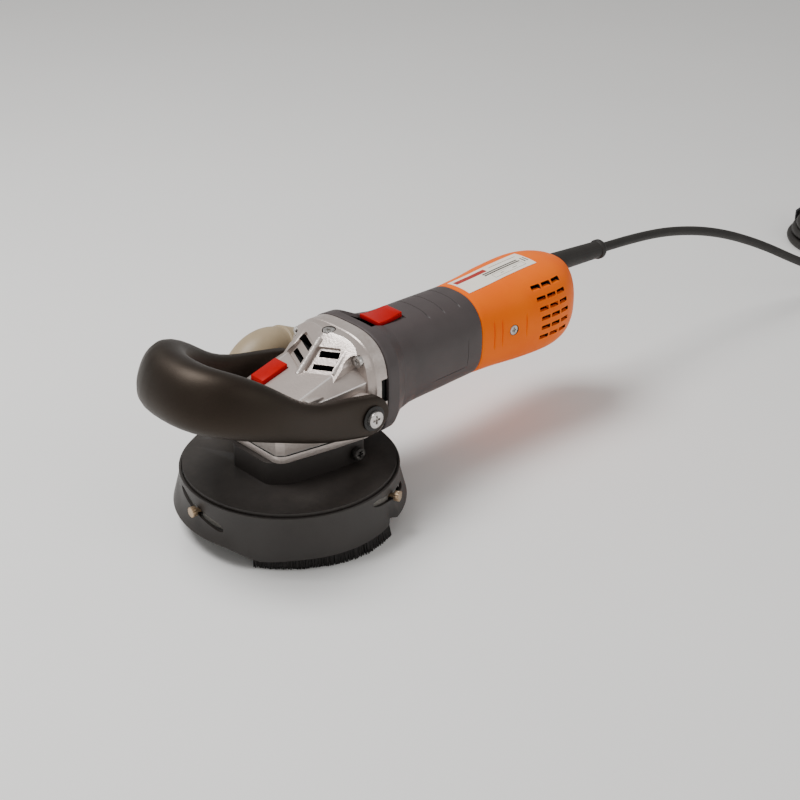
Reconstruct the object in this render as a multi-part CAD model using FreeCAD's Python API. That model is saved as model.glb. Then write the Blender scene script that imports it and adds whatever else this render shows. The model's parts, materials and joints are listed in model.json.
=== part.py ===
# A concrete angle grinder with a bow handle and a dust hood, as separate pieces.
# Millimetres, +Z up.  The spindle turns about the Z axis, the motor shaft lies along +X,
# and Z = 0 is the lower edge of the brush, the plane that the tool works on.
import FreeCAD, Part
import math
import os

os.makedirs("parts", exist_ok=True)
Vec = FreeCAD.Vector
axis_x = Vec(1, 0, 0)
axis_y = Vec(0, 1, 0)
axis_z = Vec(0, 0, 1)

# ---- fits ----
running_clearance = 0.05      # shaft in its hole, on the radius
seat_clearance = 0.02         # bearing or pressed ring in its seat, on the radius
part_gap = 0.3                # faces of different bodies

# ---- wheel and spindle ----
wheel_radius = 62.5
wheel_bore_radius = 11.115
wheel_face_height = 4.0       # lower face of the segments above the work
segment_height = 4.0
wheel_rim_height = 13.0       # outer corner of the cup
wheel_plate_bottom = 22.0
wheel_plate_top = 26.0
thread_radius = 7.0           # M14
spindle_radius = 7.5
spindle_collar_radius = 8.5
spindle_tip_radius = 6.0
spindle_bottom = 12.0
spindle_top = 104.0
flange_top = 34.0
flange_radius = 21.0
lock_nut_radius = 20.0
lock_nut_height = 9.0

# ---- dust hood ----
hood_radius = 78.0
hood_top = 46.0
hood_plate = 4.0
hood_wall = 2.5
hood_wall_radius = 76.7
hood_wall_bottom = 22.0
pedestal_wall = 3.0
neck_radius = 23.0
neck_bottom = 49.0
band_thickness = 3.5
band_height = 12.0

# ---- skirt ----
guide_thickness = 1.0
guide_bottom = 25.0
guide_top = 36.5
skirt_wall = 2.2
skirt_top = 43.5
lip_radius = 85.7
lip_start = 37.0
lip_bottom = 16.0
straight_bottom = 6.5
cutaway_start = -150.0
cutaway_end = -66.0
ledge_thickness = 1.9
ledge_top = 16.9
brush_thickness = 4.0
brush_short_bottom = 12.0
thumb_angles = (176.0, 56.0, -64.0)
thumb_height = 32.0
thumb_shank_radius = 2.5
thumb_knob_radius = 6.0
thumb_knob_length = 7.0
slot_half_angle = 19.0
skirt_turn_limit = 17.0
skirt_rise_per_degree = 0.28
skirt_lift_limit = skirt_turn_limit * skirt_rise_per_degree

# ---- gear head ----
cover_bottom = 64.0
cover_thickness = 6.0
head_front = -33.0
head_front_half = 24.0
head_shoulder_half = 29.0
head_waist_half = 36.5
head_flange_front = 44.0
head_flange_half = 41.0
deck_height = 109.7           # over the spindle axis
deck_slope = 0.27
deck_half = 24.7
side_edge_height = 104.5
side_edge_slope = 0.11
gear_cavity_radius = 31.0
gear_cavity_top = 97.0
pinion_cavity_radius = 12.0
handle_boss_radius = 14.0

# ---- motor ----
motor_axis = 95.0
front_bearing_outer = 16.0
front_bearing_inner = 7.5
front_bearing_width = 9.0
rear_bearing_outer = 11.0
rear_bearing_inner = 4.0
rear_bearing_width = 7.0
shaft_radius = 6.0
pinion_bore = 3.0
pinion_nut_radius = 4.4
armature_radius = 22.0
armature_start = 94.0
armature_end = 134.0
air_gap = 0.6
stator_radius = 29.5
stator_start = 92.0
stator_end = 136.0
commutator_radius = 14.0
commutator_start = 148.0
commutator_end = 168.0
fan_radius = 34.0
fan_start = 63.0
fan_width = 10.0
pinion_teeth = 9
crown_teeth = 30
gear_inner_radius = 17.0
gear_outer_radius = 27.0
tooth_share = 0.35            # share of the pitch that a tooth fills
tooth_addendum = 0.5
tooth_dedendum = 1.0

# ---- housings ----
housing_wall = 2.8
cover_wall = 2.6
housing_front = 57.0
housing_joint = 166.0
housing_sections = (          # x, width, height, roundness of the outside
    (57.0, 89.0, 86.0, 3.0),
    (68.0, 88.0, 85.0, 3.0),
    (80.0, 74.0, 73.5, 2.8),
    (95.0, 68.0, 70.5, 2.6),
    (130.0, 66.0, 70.0, 2.5),
    (166.0, 64.0, 69.0, 2.5),
)
cover_sections = (
    (166.0, 64.0, 69.0, 2.5),
    (190.0, 68.0, 71.0, 2.5),
    (215.0, 73.0, 74.0, 2.6),
    (245.0, 76.0, 76.0, 2.6),
    (262.0, 73.0, 74.0, 2.5),
    (274.0, 64.0, 68.0, 2.4),
    (281.0, 52.0, 60.0, 2.4),
)
spigot_end = 206.0
spigot_wall = 2.2
web_start = 186.0

# ---- handle ----
pivot_x = 32.0
pivot_z = 89.0
handle_bolt_radius = 4.0
arm_centre = 50.0
arm_thickness = 10.0
arm_height = 31.0
grip_height = 46.0
grip_thickness = 36.0
handle_sections = (           # ahead of the pivot, sideways, above it, height, thickness, rise and turn in degrees
    (0.0, arm_centre, 0.0, arm_height, arm_thickness, 8.0, 0.0),
    (22.0, arm_centre, 5.0, arm_height, arm_thickness + 0.5, 13.0, 0.0),
    (38.0, arm_centre, 8.5, arm_height - 1.5, arm_thickness + 2, 15.0, 0.0),
    (58.0, arm_centre, 15.0, arm_height - 3.0, arm_thickness + 5, 23.0, 0.0),
    (74.0, arm_centre - 0.5, 23.0, arm_height, arm_thickness + 9, 29.0, 3.0),
    (90.0, arm_centre - 3, 32.0, grip_height - 8, grip_thickness - 12, 28.0, 14.0),
    (106.0, arm_centre - 9, 40.0, grip_height - 3, grip_thickness - 6, 25.0, 35.0),
    (119.0, arm_centre - 19, 44.5, grip_height, grip_thickness - 2, 24.0, 58.0),
    (126.0, arm_centre - 33, 46.0, grip_height, grip_thickness, 24.0, 80.0),
)
grip_ahead = 127.0
grip_rise = 46.0

# ---- dust outlet ----
port_x = 19.0
port_y = 78.0
port_radius = 17.0
port_wall = 2.5
hose_socket_radius = 16.0
elbow_base = 66.0
elbow_bend_radius = 24.0
elbow_turn = 115.0
hose_socket_length = 24.0

# ---- controls ----
lock_x = -2.5
lock_y = 17.7
lock_length = 23.0
lock_width = 14.0
lock_travel = 2.5
lock_pin_radius = 3.0
switch_x = 91.0
switch_length = 25.0
switch_front_width = 22.0
switch_rear_width = 17.0
switch_travel = 7.0
switch_floor = 128.8
switch_top = 133.5

# ---- cord ----
cord_diameter = 8.0
relief_start = Vec(266, 0, 119.4)
relief_end = Vec(338, 0, 114.5)
relief_root_radius = 8.0
relief_tip_radius = 7.0
cord_points = (
    (338, 0, 114.5),
    (385, 0.5, 111.3),
    (437, -2, 104),
    (489, -9, 90),
    (539, -20, 68),
    (586, -33, 41),
    (634, -43, 17),
    (686, -46, 4.2),
    (738, -42, 4.2),
)
coil_centre = Vec(746, 15, 0)
coil_mid_radius = 46.0
coil_width = 28.0
coil_height = 24.0
tie_width = 14.0
tie_thickness = 1.3
plug_radius = 18.0
plug_length = 42.0


# ------------------------------------------------------------------ helpers
def save(name, shape):
    shape.exportStep("parts/" + name + ".step")
    print(name, len(shape.Solids), round(shape.Volume), shape.isValid())


def box(x0, x1, y0, y1, z0, z1):
    return Part.makeBox(x1 - x0, y1 - y0, z1 - z0, Vec(x0, y0, z0))


def rod(radius, start, end):
    start = Vec(start)
    end = Vec(end)
    return Part.makeCylinder(radius, (end - start).Length, start, end - start)


def pipe(outer, inner, start, end):
    return rod(outer, start, end).cut(rod(inner, start, end))


def rod_x(radius, x0, x1, y=0.0, z=motor_axis):
    return rod(radius, (x0, y, z), (x1, y, z))


def pipe_x(outer, inner, x0, x1, y=0.0, z=motor_axis):
    return pipe(outer, inner, (x0, y, z), (x1, y, z))


def rod_z(radius, z0, z1, x=0.0, y=0.0):
    return rod(radius, (x, y, z0), (x, y, z1))


def pipe_z(outer, inner, z0, z1, x=0.0, y=0.0):
    return pipe(outer, inner, (x, y, z0), (x, y, z1))


def fuse(shapes):
    shapes = list(shapes)
    return shapes[0].multiFuse(shapes[1:]).removeSplitter()


def group(shapes):
    return Part.makeCompound(list(shapes))


def polygon(points):
    return Part.makePolygon([Vec(p) for p in points] + [Vec(points[0])])


def prism(points, z0, z1):
    face = Part.Face(polygon([(x, y, z0) for x, y in points]))
    return face.extrude(Vec(0, 0, z1 - z0))


def side_prism(points, y0, y1):
    face = Part.Face(polygon([(x, y0, z) for x, z in points]))
    return face.extrude(Vec(0, y1 - y0, 0))


def turned(points, angle=360.0, start=0.0):
    """Solid of revolution about Z from points (radius, height)."""
    face = Part.Face(polygon([(r, 0, z) for r, z in points]))
    solid = face.revolve(Vec(0, 0, 0), axis_z, angle)
    solid.rotate(Vec(0, 0, 0), axis_z, start)
    return solid


def at_angle(shape, degrees):
    copy = shape.copy()
    copy.rotate(Vec(0, 0, 0), axis_z, degrees)
    return copy


def mirrored(shape):
    return shape.mirror(Vec(0, 0, 0), axis_y)


def oval(x, width, height, power, centre_z=motor_axis):
    points = []
    for i in range(32):
        turn = 2 * math.pi * i / 32
        c = math.cos(turn)
        s = math.sin(turn)
        y = width / 2 * math.copysign(abs(c) ** (2 / power), c)
        z = height / 2 * math.copysign(abs(s) ** (2 / power), s)
        points.append(Vec(x, y, centre_z + z))
    curve = Part.BSplineCurve()
    curve.interpolate(points, PeriodicFlag=True)
    return Part.Wire(curve.toShape())


def shell_form(sections, inset, first_x=None, last_x=None):
    wires = []
    for i, (x, width, height, power) in enumerate(sections):
        if i == 0 and first_x is not None:
            x = first_x
        if i == len(sections) - 1 and last_x is not None:
            x = last_x
        wires.append(oval(x, width - 2 * inset, height - 2 * inset, power))
    return Part.makeLoft(wires, True, True)


def half_space(origin, normal, size=260.0):
    solid = Part.makeBox(size, size, size, Vec(-size / 2, -size / 2, 0))
    turn = FreeCAD.Rotation(axis_z, Vec(normal))
    solid.Placement = FreeCAD.Placement(Vec(origin), turn, Vec(0, 0, 0))
    return solid


def deck_z(x):
    return deck_height + deck_slope * x


def side_edge_z(x):
    return side_edge_height + side_edge_slope * x


def screw(head_radius, head_length, shank_radius, seat, tip, recess=2.0):
    """Screw whose head stands outside seat; the shank runs from seat to tip."""
    seat = Vec(seat)
    tip = Vec(tip)
    along = (seat - tip).normalize()
    top = seat + along * head_length
    body = rod(head_radius, seat, top).fuse(rod(shank_radius, tip, seat))
    cross = Part.makeBox(head_radius * 1.1, head_radius * 0.3, recess,
                         Vec(-head_radius * 0.55, -head_radius * 0.15, -recess))
    other = cross.copy()
    other.rotate(Vec(0, 0, 0), axis_z, 90)
    cross = cross.fuse(other)
    cross.Placement = FreeCAD.Placement(top, FreeCAD.Rotation(axis_z, along), Vec(0, 0, 0))
    return body.cut(cross).removeSplitter()


# ------------------------------------------------------------------ motor and housings
gear_screw_places = ((head_flange_front - 4.5, 32.5, 123.5), (head_flange_front - 4.5, -32.5, 123.5),
                     (head_flange_front, 22.0, 58.0), (head_flange_front, -22.0, 58.0))
gear_screw_radius = 2.1
gear_screw_head = 4.4
gear_screw_tip = 66.0
dome_screw_x = 39.2
dome_screw_seat = 134.4
dome_screw_tip = 129.0
cover_screw_x = 198.0
cover_screw_z = 97.0
cover_screw_radius = 1.8
cover_screw_head = 4.0


def spigot_form(inset):
    x, width, height, power = housing_sections[-1]
    shrink = 2 * (cover_wall + part_gap + inset)
    wires = [oval(place, width - shrink, height - shrink, power) for place in (x - 8, spigot_end)]
    return Part.makeLoft(wires, True, True)


def make_motor_housing():
    outside = shell_form(housing_sections, 0.0)
    inside = shell_form(housing_sections, housing_wall, housing_front - 1, housing_joint + 1)
    shell = outside.cut(inside)
    spigot = spigot_form(0.0).cut(spigot_form(spigot_wall))
    joint_x, joint_w, joint_h, joint_p = housing_sections[-1]
    step = Part.makeLoft([oval(joint_x - 8, joint_w - 2, joint_h - 2, joint_p),
                          oval(joint_x, joint_w - 2, joint_h - 2, joint_p)], True, True)
    step = step.cut(spigot_form(spigot_wall))
    web = spigot_form(0.5).common(box(web_start, web_start + 4, -50, 50, 40, 150))
    seat = rod_x(rear_bearing_outer + 3, web_start - 3, web_start + rear_bearing_width)
    bosses = []
    for x, y, z in gear_screw_places:
        bosses.append(rod_x(5.0, housing_front, housing_front + 14, y, z).common(outside))
    cover_boss = box(cover_screw_x - 5, cover_screw_x + 5, -40, 40, cover_screw_z - 5, cover_screw_z + 5)
    cover_boss = cover_boss.common(spigot_form(0.4)).cut(box(0, 300, -24, 24, 0, 200))
    solid = fuse([shell, spigot, step, web, seat, cover_boss] + bosses)
    solid = solid.cut(rod_x(rear_bearing_outer + seat_clearance, web_start, web_start + 20))
    solid = solid.cut(rod_x(rear_bearing_outer - 3, web_start - 10, web_start + 10))
    for x, y, z in gear_screw_places:
        solid = solid.cut(rod_x(gear_screw_radius + running_clearance, 50, gear_screw_tip + 1, y, z))
    for side in (-1, 1):
        hole = rod(cover_screw_radius + running_clearance, (cover_screw_x, side * 20, cover_screw_z),
                   (cover_screw_x, side * 45, cover_screw_z))
        solid = solid.cut(hole)
        for k in range(3):
            turn = math.radians(40 + 50 * k)
            vent_z = motor_axis + 21 * math.cos(turn)
            vent_y = side * 21 * math.sin(turn)
            solid = solid.cut(rod_x(6.0, web_start - 1, web_start + 5, vent_y, vent_z))
    # flat bed of the slide switch, and the slot that its neck runs in
    bed_front = switch_x - switch_length / 2 - switch_travel - 1
    bed_rear = switch_x + switch_length / 2 + 1
    bed_half = switch_front_width / 2 + 0.6
    solid = solid.cut(box(bed_front, bed_rear, -bed_half, bed_half, switch_floor, 150))
    solid = solid.cut(box(switch_x - 6 - switch_travel - 1, switch_x + 7, -4.5, 4.5, 120, 150))
    # notch that lets the switch link pass into the rear cover
    solid = solid.cut(box(housing_joint - 9, spigot_end + 1, -4, 4, 123.5, 127.2))
    return solid


def make_rear_cover():
    outside = shell_form(cover_sections, 0.0, housing_joint + 0.05)
    inside = shell_form(cover_sections, cover_wall, housing_joint - 1, cover_sections[-1][0] - cover_wall)
    solid = outside.cut(inside)
    for side in (-1, 1):
        y_in = side * 20
        y_out = side * 60
        for row in range(6):
            z = 80.5 + 8.2 * row
            start = 226.0 + (0.0, 1.5, 1.0, -1.5, -4.0, -9.0)[row]
            for k in range(3):
                x = start + 11.5 * k
                slot = box(x, x + 8.5, min(y_in, y_out), max(y_in, y_out), z, z + 2.2)
                solid = solid.cut(slot)
        seat = rod(cover_screw_head + 0.3, (cover_screw_x, side * 32.5, cover_screw_z),
                   (cover_screw_x, side * 60, cover_screw_z))
        hole = rod(cover_screw_radius + running_clearance, (cover_screw_x, side * 20, cover_screw_z),
                   (cover_screw_x, side * 60, cover_screw_z))
        solid = solid.cut(seat).cut(hole)
    along = (relief_end - relief_start).normalize()
    solid = solid.cut(rod(relief_root_radius + running_clearance, relief_start - along * 4, relief_end))
    return solid


def make_rear_cover_screws():
    screws = []
    for side in (-1, 1):
        screws.append(screw(cover_screw_head, 2.4, cover_screw_radius,
                            (cover_screw_x, side * 32.5, cover_screw_z),
                            (cover_screw_x, side * 24.5, cover_screw_z), 1.6))
    return group(screws)


def make_rating_label():
    lift = shell_form(cover_sections, -0.5).cut(shell_form(cover_sections, -0.06))
    return lift.common(box(170, 246, -12.2, 12.2, 100, 150))


def make_stator_core():
    ring = pipe_x(stator_radius, armature_radius + air_gap, stator_start, stator_end)
    for side in (-1, 1):
        window = pipe_x(stator_radius - 3.5, armature_radius - 1, stator_start - 1, stator_end + 1)
        low = motor_axis - 9
        wedge = window.common(box(80, 150, min(0, side * 40), max(0, side * 40), low, low + 18))
        ring = ring.cut(wedge)
    return ring


def make_stator_windings():
    coils = []
    for side in (-1, 1):
        band = pipe_x(stator_radius - 3.6, armature_radius + air_gap, stator_start - 7, stator_end + 7)
        low = motor_axis - 8.8
        side_box = box(80, 150, min(0, side * 40), max(0, side * 40), low, low + 17.6)
        coils.append(band.common(side_box))
    ends = []
    for x0 in (stator_start - 7, stator_end + 0.2):
        ends.append(pipe_x(stator_radius - 3.6, armature_radius + air_gap, x0, x0 + 6.8))
    return fuse(coils + ends)


def make_armature_shaft():
    steps = ((12.5, 28.0, pinion_bore), (28.0, 46.0, 5.0), (46.0, 57.5, front_bearing_inner),
             (57.5, commutator_start, shaft_radius), (commutator_start, web_start - 1, 5.0),
             (web_start - 1, web_start + 9, rear_bearing_inner))
    return fuse([rod_x(radius, x0, x1) for x0, x1, radius in steps])


def make_armature_core():
    core = pipe_x(armature_radius, shaft_radius + seat_clearance, armature_start, armature_end)
    for k in range(12):
        slot = box(armature_start - 1, armature_end + 1, -1.2, 1.2, motor_axis + 15, motor_axis + 24)
        slot.rotate(Vec(0, 0, motor_axis), axis_x, 30 * k)
        core = core.cut(slot)
    return core


def make_armature_windings():
    heads = []
    for x0, x1 in ((armature_start - 9, armature_start), (armature_end, armature_end + 10)):
        heads.append(pipe_x(armature_radius - 2, shaft_radius + seat_clearance, x0, x1))
    bars = []
    for k in range(12):
        bar = box(armature_start - 2, armature_end + 2, -1.1, 1.1, motor_axis + 15.2, motor_axis + 19.5)
        bar.rotate(Vec(0, 0, motor_axis), axis_x, 30 * k)
        bars.append(bar)
    return fuse(heads + bars)


def make_commutator():
    ring = pipe_x(commutator_radius, 5 + seat_clearance, commutator_start, commutator_end)
    for k in range(24):
        cut = box(commutator_start + 3, commutator_end + 1, -0.3, 0.3,
                  motor_axis + commutator_radius - 0.8, motor_axis + commutator_radius + 1)
        cut.rotate(Vec(0, 0, motor_axis), axis_x, 15 * k)
        ring = ring.cut(cut)
    return ring


def make_cooling_fan():
    hub = pipe_x(11.0, shaft_radius + seat_clearance, fan_start, fan_start + fan_width)
    disc = pipe_x(fan_radius, 10.0, fan_start, fan_start + 2)
    blades = []
    for k in range(14):
        blade = box(fan_start + 1, fan_start + fan_width, -0.9, 0.9, motor_axis + 10, motor_axis + fan_radius)
        blade.rotate(Vec(0, 0, motor_axis + 10), axis_x, 12)
        blade.rotate(Vec(0, 0, motor_axis), axis_x, 360 / 14 * k)
        blades.append(blade)
    body = fuse([hub, disc] + blades)
    return body.common(pipe_x(fan_radius, shaft_radius + seat_clearance, fan_start, fan_start + fan_width))


def make_air_baffle():
    form = shell_form(housing_sections, housing_wall + part_gap, housing_front, housing_joint)
    plate = form.common(box(76, 78, -60, 60, 30, 160))
    plate = plate.cut(rod_x(26.0, 70, 80))
    half = switch_front_width / 2 + 1.5
    return plate.cut(box(70, 85, -half, half, switch_floor - 4.5, 150))


def make_brush_holders():
    holders = []
    for side in (-1, 1):
        inner = side * (commutator_radius + 1.3)
        outer = side * 26.5
        frame = box(152, 164, min(inner, outer), max(inner, outer), motor_axis - 4.5, motor_axis + 4.5)
        channel = box(154.5, 161.5, min(0, side * 25.4), max(0, side * 25.4), motor_axis - 3, motor_axis + 3)
        holders.append(frame.cut(channel))
    return group(holders)


def make_carbon_brushes():
    blocks = []
    for side in (-1, 1):
        inner = side * (commutator_radius + 0.15)
        outer = side * 22
        blocks.append(box(154.7, 161.3, min(inner, outer), max(inner, outer), motor_axis - 2.8, motor_axis + 2.8))
    return group(blocks)


def make_brush_springs():
    springs = []
    for side in (-1, 1):
        turns = [pipe(2.4, 1.7, (158, side * (22.1 + 0.8 * k), motor_axis),
                      (158, side * (22.1 + 0.8 * k + 0.6), motor_axis)) for k in range(4)]
        core = pipe(1.9, 1.7, (158, side * 22.1, motor_axis), (158, side * 25.2, motor_axis))
        springs.append(fuse(turns + [core]))
    return group(springs)


def bearing(outer, inner, start, end):
    """Two races with a ring of balls between their shields, as one closed unit."""
    start = Vec(start)
    end = Vec(end)
    along = (end - start).normalize()
    ring = pipe(outer, inner, start, end)
    mid = (outer + inner) / 2
    groove = pipe(mid + 1.2, mid - 1.2, start, start + along * 0.5)
    far = pipe(mid + 1.2, mid - 1.2, end - along * 0.5, end)
    return ring.cut(groove).cut(far)


# ------------------------------------------------------------------ gears
def pitch_line(radius):
    """Height of the crown gear's pitch cone at a radius from the spindle axis."""
    return motor_axis - radius * pinion_teeth / crown_teeth


def make_crown_gear():
    base = 76.0
    r0 = gear_inner_radius
    r1 = gear_outer_radius
    root0 = pitch_line(r0) - tooth_dedendum
    root1 = pitch_line(r1) - tooth_dedendum
    bore = spindle_radius + seat_clearance
    hub_bottom = cover_bottom + 0.6
    body = turned([(bore, hub_bottom), (11.0, hub_bottom), (11.0, base), (r1, base), (r1, root1),
                   (r0, root0), (r0 - 2, 84.0), (bore, 84.0)])
    teeth = []
    pitch = 2 * math.pi / crown_teeth
    for k in range(crown_teeth):
        wires = []
        for r in (r0, r1):
            half = r * pitch * tooth_share / 2
            low = pitch_line(r) - tooth_dedendum - 0.5
            high = pitch_line(r) + tooth_addendum
            wires.append(polygon([(r, -half, low), (r, half, low), (r, half * 0.7, high), (r, -half * 0.7, high)]))
        tooth = Part.makeLoft(wires, True, True)
        teeth.append(at_angle(tooth, 360 / crown_teeth * (k + 0.5)))
    return fuse([body] + teeth)


def make_pinion():
    share = pinion_teeth / crown_teeth
    x0 = gear_inner_radius + 0.5
    x1 = gear_outer_radius
    blank = Part.makeCone(x0 * share - tooth_dedendum, x1 * share - tooth_dedendum, x1 - x0,
                          Vec(x0, 0, motor_axis), axis_x)
    teeth = []
    pitch = 2 * math.pi / pinion_teeth
    for k in range(pinion_teeth):
        wires = []
        for x in (x0, x1):
            r = x * share
            half = r * pitch * tooth_share / 2
            low = motor_axis - r + tooth_dedendum + 0.5
            high = motor_axis - r - tooth_addendum
            wires.append(polygon([(x, -half, low), (x, half, low), (x, half * 0.7, high), (x, -half * 0.7, high)]))
        tooth = Part.makeLoft(wires, True, True)
        tooth.rotate(Vec(0, 0, motor_axis), axis_x, 360 / pinion_teeth * k)
        teeth.append(tooth)
    hub = rod_x(x1 * share - tooth_dedendum, x1 - 0.01, 28.0)
    body = fuse([blank, hub] + teeth)
    return body.cut(rod_x(pinion_bore + seat_clearance, 0, 60))


def make_pinion_nut():
    hexagon = []
    for k in range(6):
        turn = math.radians(60 * k)
        hexagon.append((13.2, pinion_nut_radius * math.cos(turn), motor_axis + pinion_nut_radius * math.sin(turn)))
    nut = Part.Face(polygon(hexagon)).extrude(Vec(gear_inner_radius + 0.5 - 13.2, 0, 0))
    return nut.cut(rod_x(pinion_bore + seat_clearance, 0, 60))


# ------------------------------------------------------------------ gear head
cover_plan = ((head_front, -head_front_half), (head_front, head_front_half), (-28, head_shoulder_half),
              (12, head_waist_half), (head_flange_front - 1, 40.5), (head_flange_front - 1, -40.5),
              (12, -head_waist_half), (-28, -head_shoulder_half))
prow_foot = Vec(10.5, 0, 112.6)
prow_side = Vec(21.0, -26.0, 115.4)
prow_top = Vec(30.0, 0, 131.5)
window_rows = ((3.5, 4.2, 8.6, 16.8), (13.2, 5.1, 11.2, 17.2))    # rise, height, start and length along the panel
window_depth = 26.0


def prow_normal(side):
    normal = (prow_side - prow_foot).cross(prow_top - prow_foot).normalize()
    return Vec(normal.x, normal.y * -side, normal.z)


def head_section(x, half):
    return polygon([(x, -half, cover_bottom + cover_thickness), (x, -half, side_edge_z(x)), (x, -deck_half, deck_z(x)),
                    (x, deck_half, deck_z(x)), (x, half, side_edge_z(x)), (x, half, cover_bottom + cover_thickness)])


def make_gear_housing():
    base = cover_bottom + cover_thickness
    nose_front = Part.makeLoft([head_section(head_front, head_front_half + 1),
                                head_section(-28, head_shoulder_half)], True, True)
    nose_mid = Part.makeLoft([head_section(-28, head_shoulder_half), head_section(12, head_waist_half)], True, True)
    nose_rear = Part.makeLoft([head_section(12, head_waist_half),
                               head_section(head_flange_front + 1, head_flange_half)], True, True)
    front = housing_sections[0]
    dome = Part.makeLoft([oval(12, 76.0, front[2] - 5, 3.0), oval(head_flange_front, front[1] - 3, front[2] - 2, 3.0)],
                         True, True)
    dome = dome.common(box(0, 100, -60, 60, base, 150))
    flange = Part.makeLoft([oval(head_flange_front, front[1] - 3, front[2] - 2, 3.0),
                            oval(housing_front - 0.05, front[1] - 1, front[2] - 1, 3.0)], True, True)
    for side in (-1, 1):
        foot = Vec(prow_foot)
        dome = dome.cut(half_space(foot, prow_normal(side)))
    ribs = []
    for start, end in ((prow_foot, prow_top), (prow_side + Vec(1, 2.5, 0), Vec(34.0, -24.0, 130.0)),
                       (Vec(22.0, 23.5, 115.4), Vec(34.0, 24.0, 130.0))):
        ribs.append(rod(2.6, start + Vec(1.0, 0, -1.0), end + Vec(1.0, 0, -1.5)))
    bosses = [rod(handle_boss_radius, (pivot_x, side * 28, pivot_z),
                  (pivot_x, side * (arm_centre - arm_thickness / 2 - part_gap), pivot_z)) for side in (-1, 1)]
    solid = fuse([nose_front, nose_mid, nose_rear, dome, flange] + ribs + bosses)
    # gear room, pinion room, bush seat and bearing seat
    solid = solid.cut(rod_z(gear_cavity_radius, base - 1, gear_cavity_top)
                      .common(box(head_front + 3, 60, -60, 60, 0, 200)))
    solid = solid.cut(rod_x(pinion_cavity_radius, 9, 47))
    solid = solid.cut(rod_z(spindle_tip_radius + 2 + seat_clearance, 90, spindle_top + 0.5))
    solid = solid.cut(rod_x(front_bearing_outer + seat_clearance, 47, 60))
    # air way from the bell to the front windows
    solid = solid.cut(box(27, 60, -25, 25, 114, 128.5))
    air_side = pipe_x(38.0, 22.0, 48, 60).cut(box(40, 70, -60, 60, 0, motor_axis - 25))
    for side in (-1, 1):
        web = box(40, 70, min(side * 10, side * 50), max(side * 10, side * 50), motor_axis - 22, motor_axis + 22)
        solid = solid.cut(air_side.common(web))
    for side in (-1, 1):
        panel = prow_normal(side)
        across = (Vec(prow_side.x, prow_side.y * -side, prow_side.z) - prow_foot).normalize()
        up = panel.cross(across)
        if up.z < 0:
            up = up * -1
        for rise, tall, start, length in window_rows:
            corners = [prow_foot + panel * 4 + across * a + up * b
                       for a, b in ((start, rise), (start + length, rise), (start + length, rise + tall),
                                    (start, rise + tall))]
            window = Part.Face(polygon(corners)).extrude(panel * -window_depth)
            solid = solid.cut(window)
    # screw holes and seats
    for x, y, z in gear_screw_places:
        solid = solid.cut(rod_x(gear_screw_radius + running_clearance, x - 1, 60, y, z))
        solid = solid.cut(rod_x(gear_screw_head + 0.4, -10 if z > 100 else x - 10, x, y, z))
    solid = solid.cut(rod_z(gear_screw_head + 0.4, dome_screw_seat, dome_screw_seat + 20, dome_screw_x))
    solid = solid.cut(rod_z(gear_screw_radius + running_clearance, dome_screw_tip - 1, dome_screw_seat + 1,
                            dome_screw_x))
    # pivot holes, lock button pocket and pin hole
    for side in (-1, 1):
        solid = solid.cut(rod(handle_bolt_radius + running_clearance, (pivot_x, side * 33, pivot_z),
                              (pivot_x, side * 60, pivot_z)))
    for x, y in gear_cover_screw_places:
        solid = solid.cut(rod_z(2.0 + running_clearance, base - 1, cover_bottom + 15, x, y))
    pocket = lock_outline(0.3)
    solid = solid.cut(pocket.extrude(Vec(0, 0, 60)))
    solid = solid.cut(rod_z(lock_pin_radius + running_clearance, 60, 140, lock_x, lock_y))
    return solid


def lock_outline(margin):
    """Sloping face under the lock button, parallel to the deck and 5 mm below it."""
    x0 = lock_x - lock_length / 2 - margin
    x1 = lock_x + lock_length / 2 + margin
    y0 = lock_y - lock_width / 2 - margin
    y1 = lock_y + lock_width / 2 + margin
    drop = 5.0 + margin
    return Part.Face(polygon([(x0, y0, deck_z(x0) - drop), (x1, y0, deck_z(x1) - drop),
                              (x1, y1, deck_z(x1) - drop), (x0, y1, deck_z(x0) - drop)]))


def make_lock_button():
    button = lock_outline(0.0)
    button.translate(Vec(0, 0, lock_travel))
    return button.extrude(Vec(0, 0, 5.0 + 0.8)).cut(rod_z(lock_pin_radius, 60, deck_z(lock_x), lock_x, lock_y))


def make_lock_pin():
    crown_top = pitch_line(gear_inner_radius) + tooth_addendum
    return rod_z(lock_pin_radius - 0.02, crown_top + lock_travel + 0.6, deck_z(lock_x) - 0.3, lock_x, lock_y)


def make_gear_cover_plate():
    plate = prism(cover_plan, cover_bottom, cover_bottom + cover_thickness)
    neck = rod_z(neck_radius, neck_bottom, cover_bottom + 1)
    solid = plate.fuse(neck)
    solid = solid.cut(rod_z(17.5 + seat_clearance, 52.5, 80))
    solid = solid.cut(rod_z(13.0 + seat_clearance, neck_bottom - 1, 60))
    for x, y in gear_cover_screw_places:
        solid = solid.cut(rod_z(2.0 + running_clearance, cover_bottom - 1, 80, x, y))
        solid = solid.cut(rod_z(4.2, cover_bottom - 1, cover_bottom + 2.6, x, y))
    return solid.removeSplitter()


gear_cover_screw_places = ((-27, 21), (-27, -21), (38, 33), (38, -33))


def make_gear_cover_screws():
    screws = []
    for x, y in gear_cover_screw_places:
        screws.append(screw(3.8, 2.4, 2.0, (x, y, cover_bottom + 2.6), (x, y, cover_bottom + 14), 1.4))
    return group(screws)


def make_gear_housing_screws():
    screws = []
    for x, y, z in gear_screw_places:
        screws.append(screw(gear_screw_head, 3.0, gear_screw_radius, (x, y, z), (gear_screw_tip, y, z)))
    screws.append(screw(gear_screw_head, 2.2, gear_screw_radius, (dome_screw_x, 0, dome_screw_seat),
                        (dome_screw_x, 0, dome_screw_tip), 1.6))
    return group(screws)


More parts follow.
